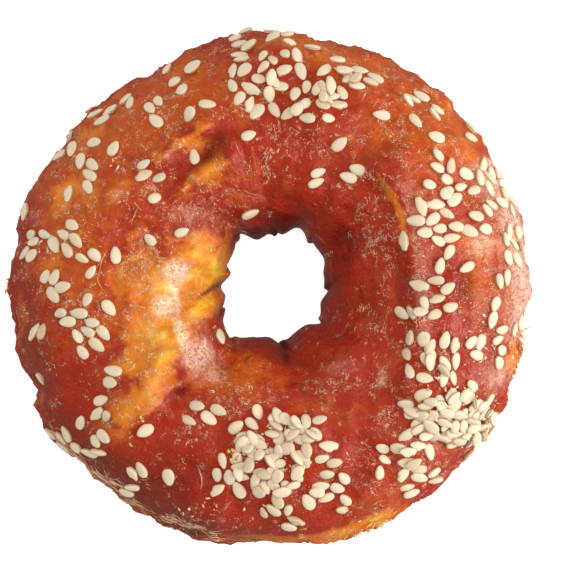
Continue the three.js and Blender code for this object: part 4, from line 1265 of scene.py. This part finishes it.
class BAGEL_OT_fibres(bpy.types.Operator):
    """Lays short pale fibres on the glaze, in bundles"""

    bl_idname = "bagel.fibres"
    bl_label = "Fibres"

    def execute(self, context):
        look = context.scene.bagel_bits
        rng = np.random.default_rng(FIBRE_DRAW)
        starts = []
        for _ in range(look.bundles):
            angle, tube = anywhere_on_top(rng)
            starts += self.bundle(rng, angle, tube, rng.uniform(0, TURN), LONGEST_ANYWHERE)
        for x, y, long, wide, degrees, count, heading, spread, longest in FIBRE_PATCHES:
            for _ in range(count):
                angle, tube = in_patch(rng, x, y, long, wide, degrees)
                starts += self.bundle(rng, angle, tube, math.radians(rng.normal(heading, spread)), longest)
        for x, y, heading, curl, reach in LONG_FIBRES:
            angle, tube = ring_place(x, y)
            way = math.radians(heading) - angle - TURN / 4
            starts.append((angle, tube, way, reach, math.radians(curl), LONG_LIFT, 0))
        fibres = lay_strands("fibres", starts, look.fibre, rng)
        dress(fibres, bit_material("pale_fibre", look.pink, look.straw, 0.002))
        return {"FINISHED"}

    def bundle(self, rng, angle, tube, heading, longest):
        """A few fibres side by side, most of them much shorter than the longest."""
        strands = []
        for _ in range(rng.integers(*BUNDLE_STRANDS)):
            near = angle + rng.normal(0, BUNDLE_WIDTH)
            near_tube = tube + rng.normal(0, BUNDLE_HEIGHT)
            reach = longest * (SHORTEST_STRAND + (1 - SHORTEST_STRAND) * rng.beta(1.0, 2.2))
            way = heading + rng.normal(0, BUNDLE_STRAY)
            strands.append((near, near_tube, way, reach, rng.normal(0, BUNDLE_CURL), BUNDLE_LIFT, 0))
        return strands


class BAGEL_OT_frayed_ends(bpy.types.Operator):
    """Frays the crust's outer edge with loose golden ends"""

    bl_idname = "bagel.frayed_ends"
    bl_label = "Frayed ends"

    def execute(self, context):
        look = context.scene.bagel_bits
        rng = np.random.default_rng(END_DRAW)
        starts = []
        for degrees, spread, level, count, reach in FRAYED_EDGES:
            for _ in range(count):
                angle = math.radians(rng.normal(degrees, spread))
                tube = math.radians(rng.normal(level, END_SPREAD))
                size = reach * rng.uniform(SHORTEST_END, 1.0)
                way, curl = rng.uniform(0, TURN), rng.normal(0, END_CURL)
                starts.append((angle, tube, way, size * END_LENGTH, curl, 0, size * END_LIFT))
        ends = lay_strands("frayed_ends", starts, look.fibre * END_THICKNESS, rng)
        dress(ends, bit_material("frayed_skin", look.gold_end, look.crumb_dark, 0.003))
        return {"FINISHED"}


class BAGEL_OT_crumbs(bpy.types.Operator):
    """Scatters golden crumbs and chips of seed in the piles and along the edge"""

    bl_idname = "bagel.crumbs"
    bl_label = "Crumbs"

    def execute(self, context):
        look = context.scene.bagel_bits
        rng = np.random.default_rng(CRUMB_DRAW)
        crumbs = self.scatter("crumbs", CRUMB_PATCHES, look.crumb, rng)
        dress(crumbs, bit_material("golden_crumb", look.straw, look.crumb_dark, 0.001))
        chips = self.scatter("seed_chips", CHIP_PATCHES, look.crumb * CHIP_SIZE, rng)
        give_values(chips.data, "rim", np.zeros(len(chips.data.vertices)))
        dress(chips, bpy.data.materials["sesame_hull"])
        return {"FINISHED"}

    def scatter(self, name, table, size, rng):
        """Copies a few broken lumps to places drawn in the table's patches."""
        shapes = []
        for number in range(LUMP_SHAPES):
            deselect()
            bpy.ops.mesh.primitive_ico_sphere_add(subdivisions=2, radius=0.5)
            lump = take(f"{name}_{number}")
            co = vertices_of(lump)
            dents = ripple(co, LUMP_DENT_LENGTH, LUMP_DRAW + number)
            move_vertices(lump, co * (1 + LUMP_DENTS * dents[:, None]) * LUMP_STRETCH)
            shapes.append(lump)
        tree, copies = crust_tree(), []
        for x, y, long, wide, degrees, count, lift in table:
            for _ in range(count):
                angle, tube = in_patch(rng, x, y, long, wide, degrees)
                seat = stand_on(tree, angle, tube, rng.uniform(0.0, lift) * MM)
                turn = Matrix.Rotation(rng.uniform(0, TURN), 4, "Z")
                turn = turn @ Matrix.Rotation(rng.normal(0, LUMP_TILT), 4, "X")
                scale = size * rng.uniform(SMALLEST_LUMP, 1.0)
                stretch = Matrix.Diagonal((scale, scale * rng.uniform(NARROWEST_LUMP, 1), scale, 1))
                shape = shapes[rng.integers(LUMP_SHAPES)]
                copies.append(copy_of(shape, seat @ turn @ stretch, rng.beta(1.2, 2.6)))
        drop(shapes)
        return join(name, copies)


# ---- The stage ----
class BAGEL_OT_stage(bpy.types.Operator):
    """Lays the floor, and sets up the lights and the camera straight overhead"""

    bl_idname = "bagel.stage"
    bl_label = "Stage"

    def execute(self, context):
        stage = context.scene.bagel_stage
        deselect()
        bpy.ops.mesh.primitive_plane_add(size=stage.floor)
        floor = take("floor")
        paint = Paint("pale_floor")
        grain = paint.noise(0.02, 3)
        darker = [FLOOR_SHADE * part for part in stage.floor_colour]
        tone = paint.mix(rgba(stage.floor_colour), rgba(darker), grain)
        floor.data.materials.append(paint.surface(
            Base_Color=tone, Roughness=0.8, Specular_IOR_Level=0.0, Emission_Color=tone,
            Emission_Strength=stage.floor_glow,
        ))
        floor.visible_glossy = False
        for name, place, width in SOFTBOXES:
            lamp = self.light(name, getattr(stage, name), place, width)
            lamp.visible_glossy = name != "fill"
        world = bpy.data.worlds.new("soft_room")
        world.use_nodes = True
        background = world.node_tree.nodes["Background"].inputs
        background["Strength"].default_value, background["Color"].default_value = stage.ambient, (1, 1, 1, 1)
        context.scene.world = world
        bpy.ops.object.camera_add(location=(*stage.aim, stage.camera), rotation=(0, 0, 0))
        camera = bpy.context.active_object
        camera.name = "overhead"
        camera.data.lens = camera.data.sensor_width * (stage.camera - WIDEST_LEVEL * MM) / stage.view
        context.scene.camera = camera
        context.scene.view_settings.view_transform = "Standard"
        return {"FINISHED"}

    def light(self, name, power, place, size):
        """A square softbox that faces the bagel."""
        bpy.ops.object.light_add(type="AREA", location=place)
        lamp = bpy.context.active_object
        lamp.name = name
        lamp.data.energy, lamp.data.size = power, size
        lamp.rotation_euler = (-Vector(place)).to_track_quat("-Z", "Y").to_euler()
        lamp.visible_camera = False
        return lamp


# ---- The add-on ----
PIECES = (
    BAGEL_OT_crust, BAGEL_OT_seeds, BAGEL_OT_crumbs, BAGEL_OT_fibres, BAGEL_OT_frayed_ends, BAGEL_OT_stage,
)


class BAGEL_PT_panel(bpy.types.Panel):
    """Lists the bagel's pieces"""

    bl_idname = "BAGEL_PT_panel"
    bl_label = "Sesame bagel"
    bl_space_type = "VIEW_3D"
    bl_region_type = "UI"
    bl_category = "Bagel"

    def draw(self, context):
        for piece in PIECES:
            self.layout.operator(piece.bl_idname)


GROUPS = {
    "bagel_crust": BAGEL_PG_crust,
    "bagel_seeds": BAGEL_PG_seeds,
    "bagel_bits": BAGEL_PG_bits,
    "bagel_stage": BAGEL_PG_stage,
}


def register():
    for name, group in GROUPS.items():
        bpy.utils.register_class(group)
        setattr(bpy.types.Scene, name, PointerProperty(type=group))
    for shown in (*PIECES, BAGEL_PT_panel):
        bpy.utils.register_class(shown)


def unregister():
    for shown in (BAGEL_PT_panel, *reversed(PIECES)):
        bpy.utils.unregister_class(shown)
    for name, group in reversed(GROUPS.items()):
        delattr(bpy.types.Scene, name)
        bpy.utils.unregister_class(group)


def main():
    register()
    bpy.ops.bagel.crust()
    bpy.ops.bagel.seeds()
    bpy.ops.bagel.crumbs()
    bpy.ops.bagel.fibres()
    bpy.ops.bagel.frayed_ends()
    bpy.ops.bagel.stage()


if __name__ == "__main__":
    main()
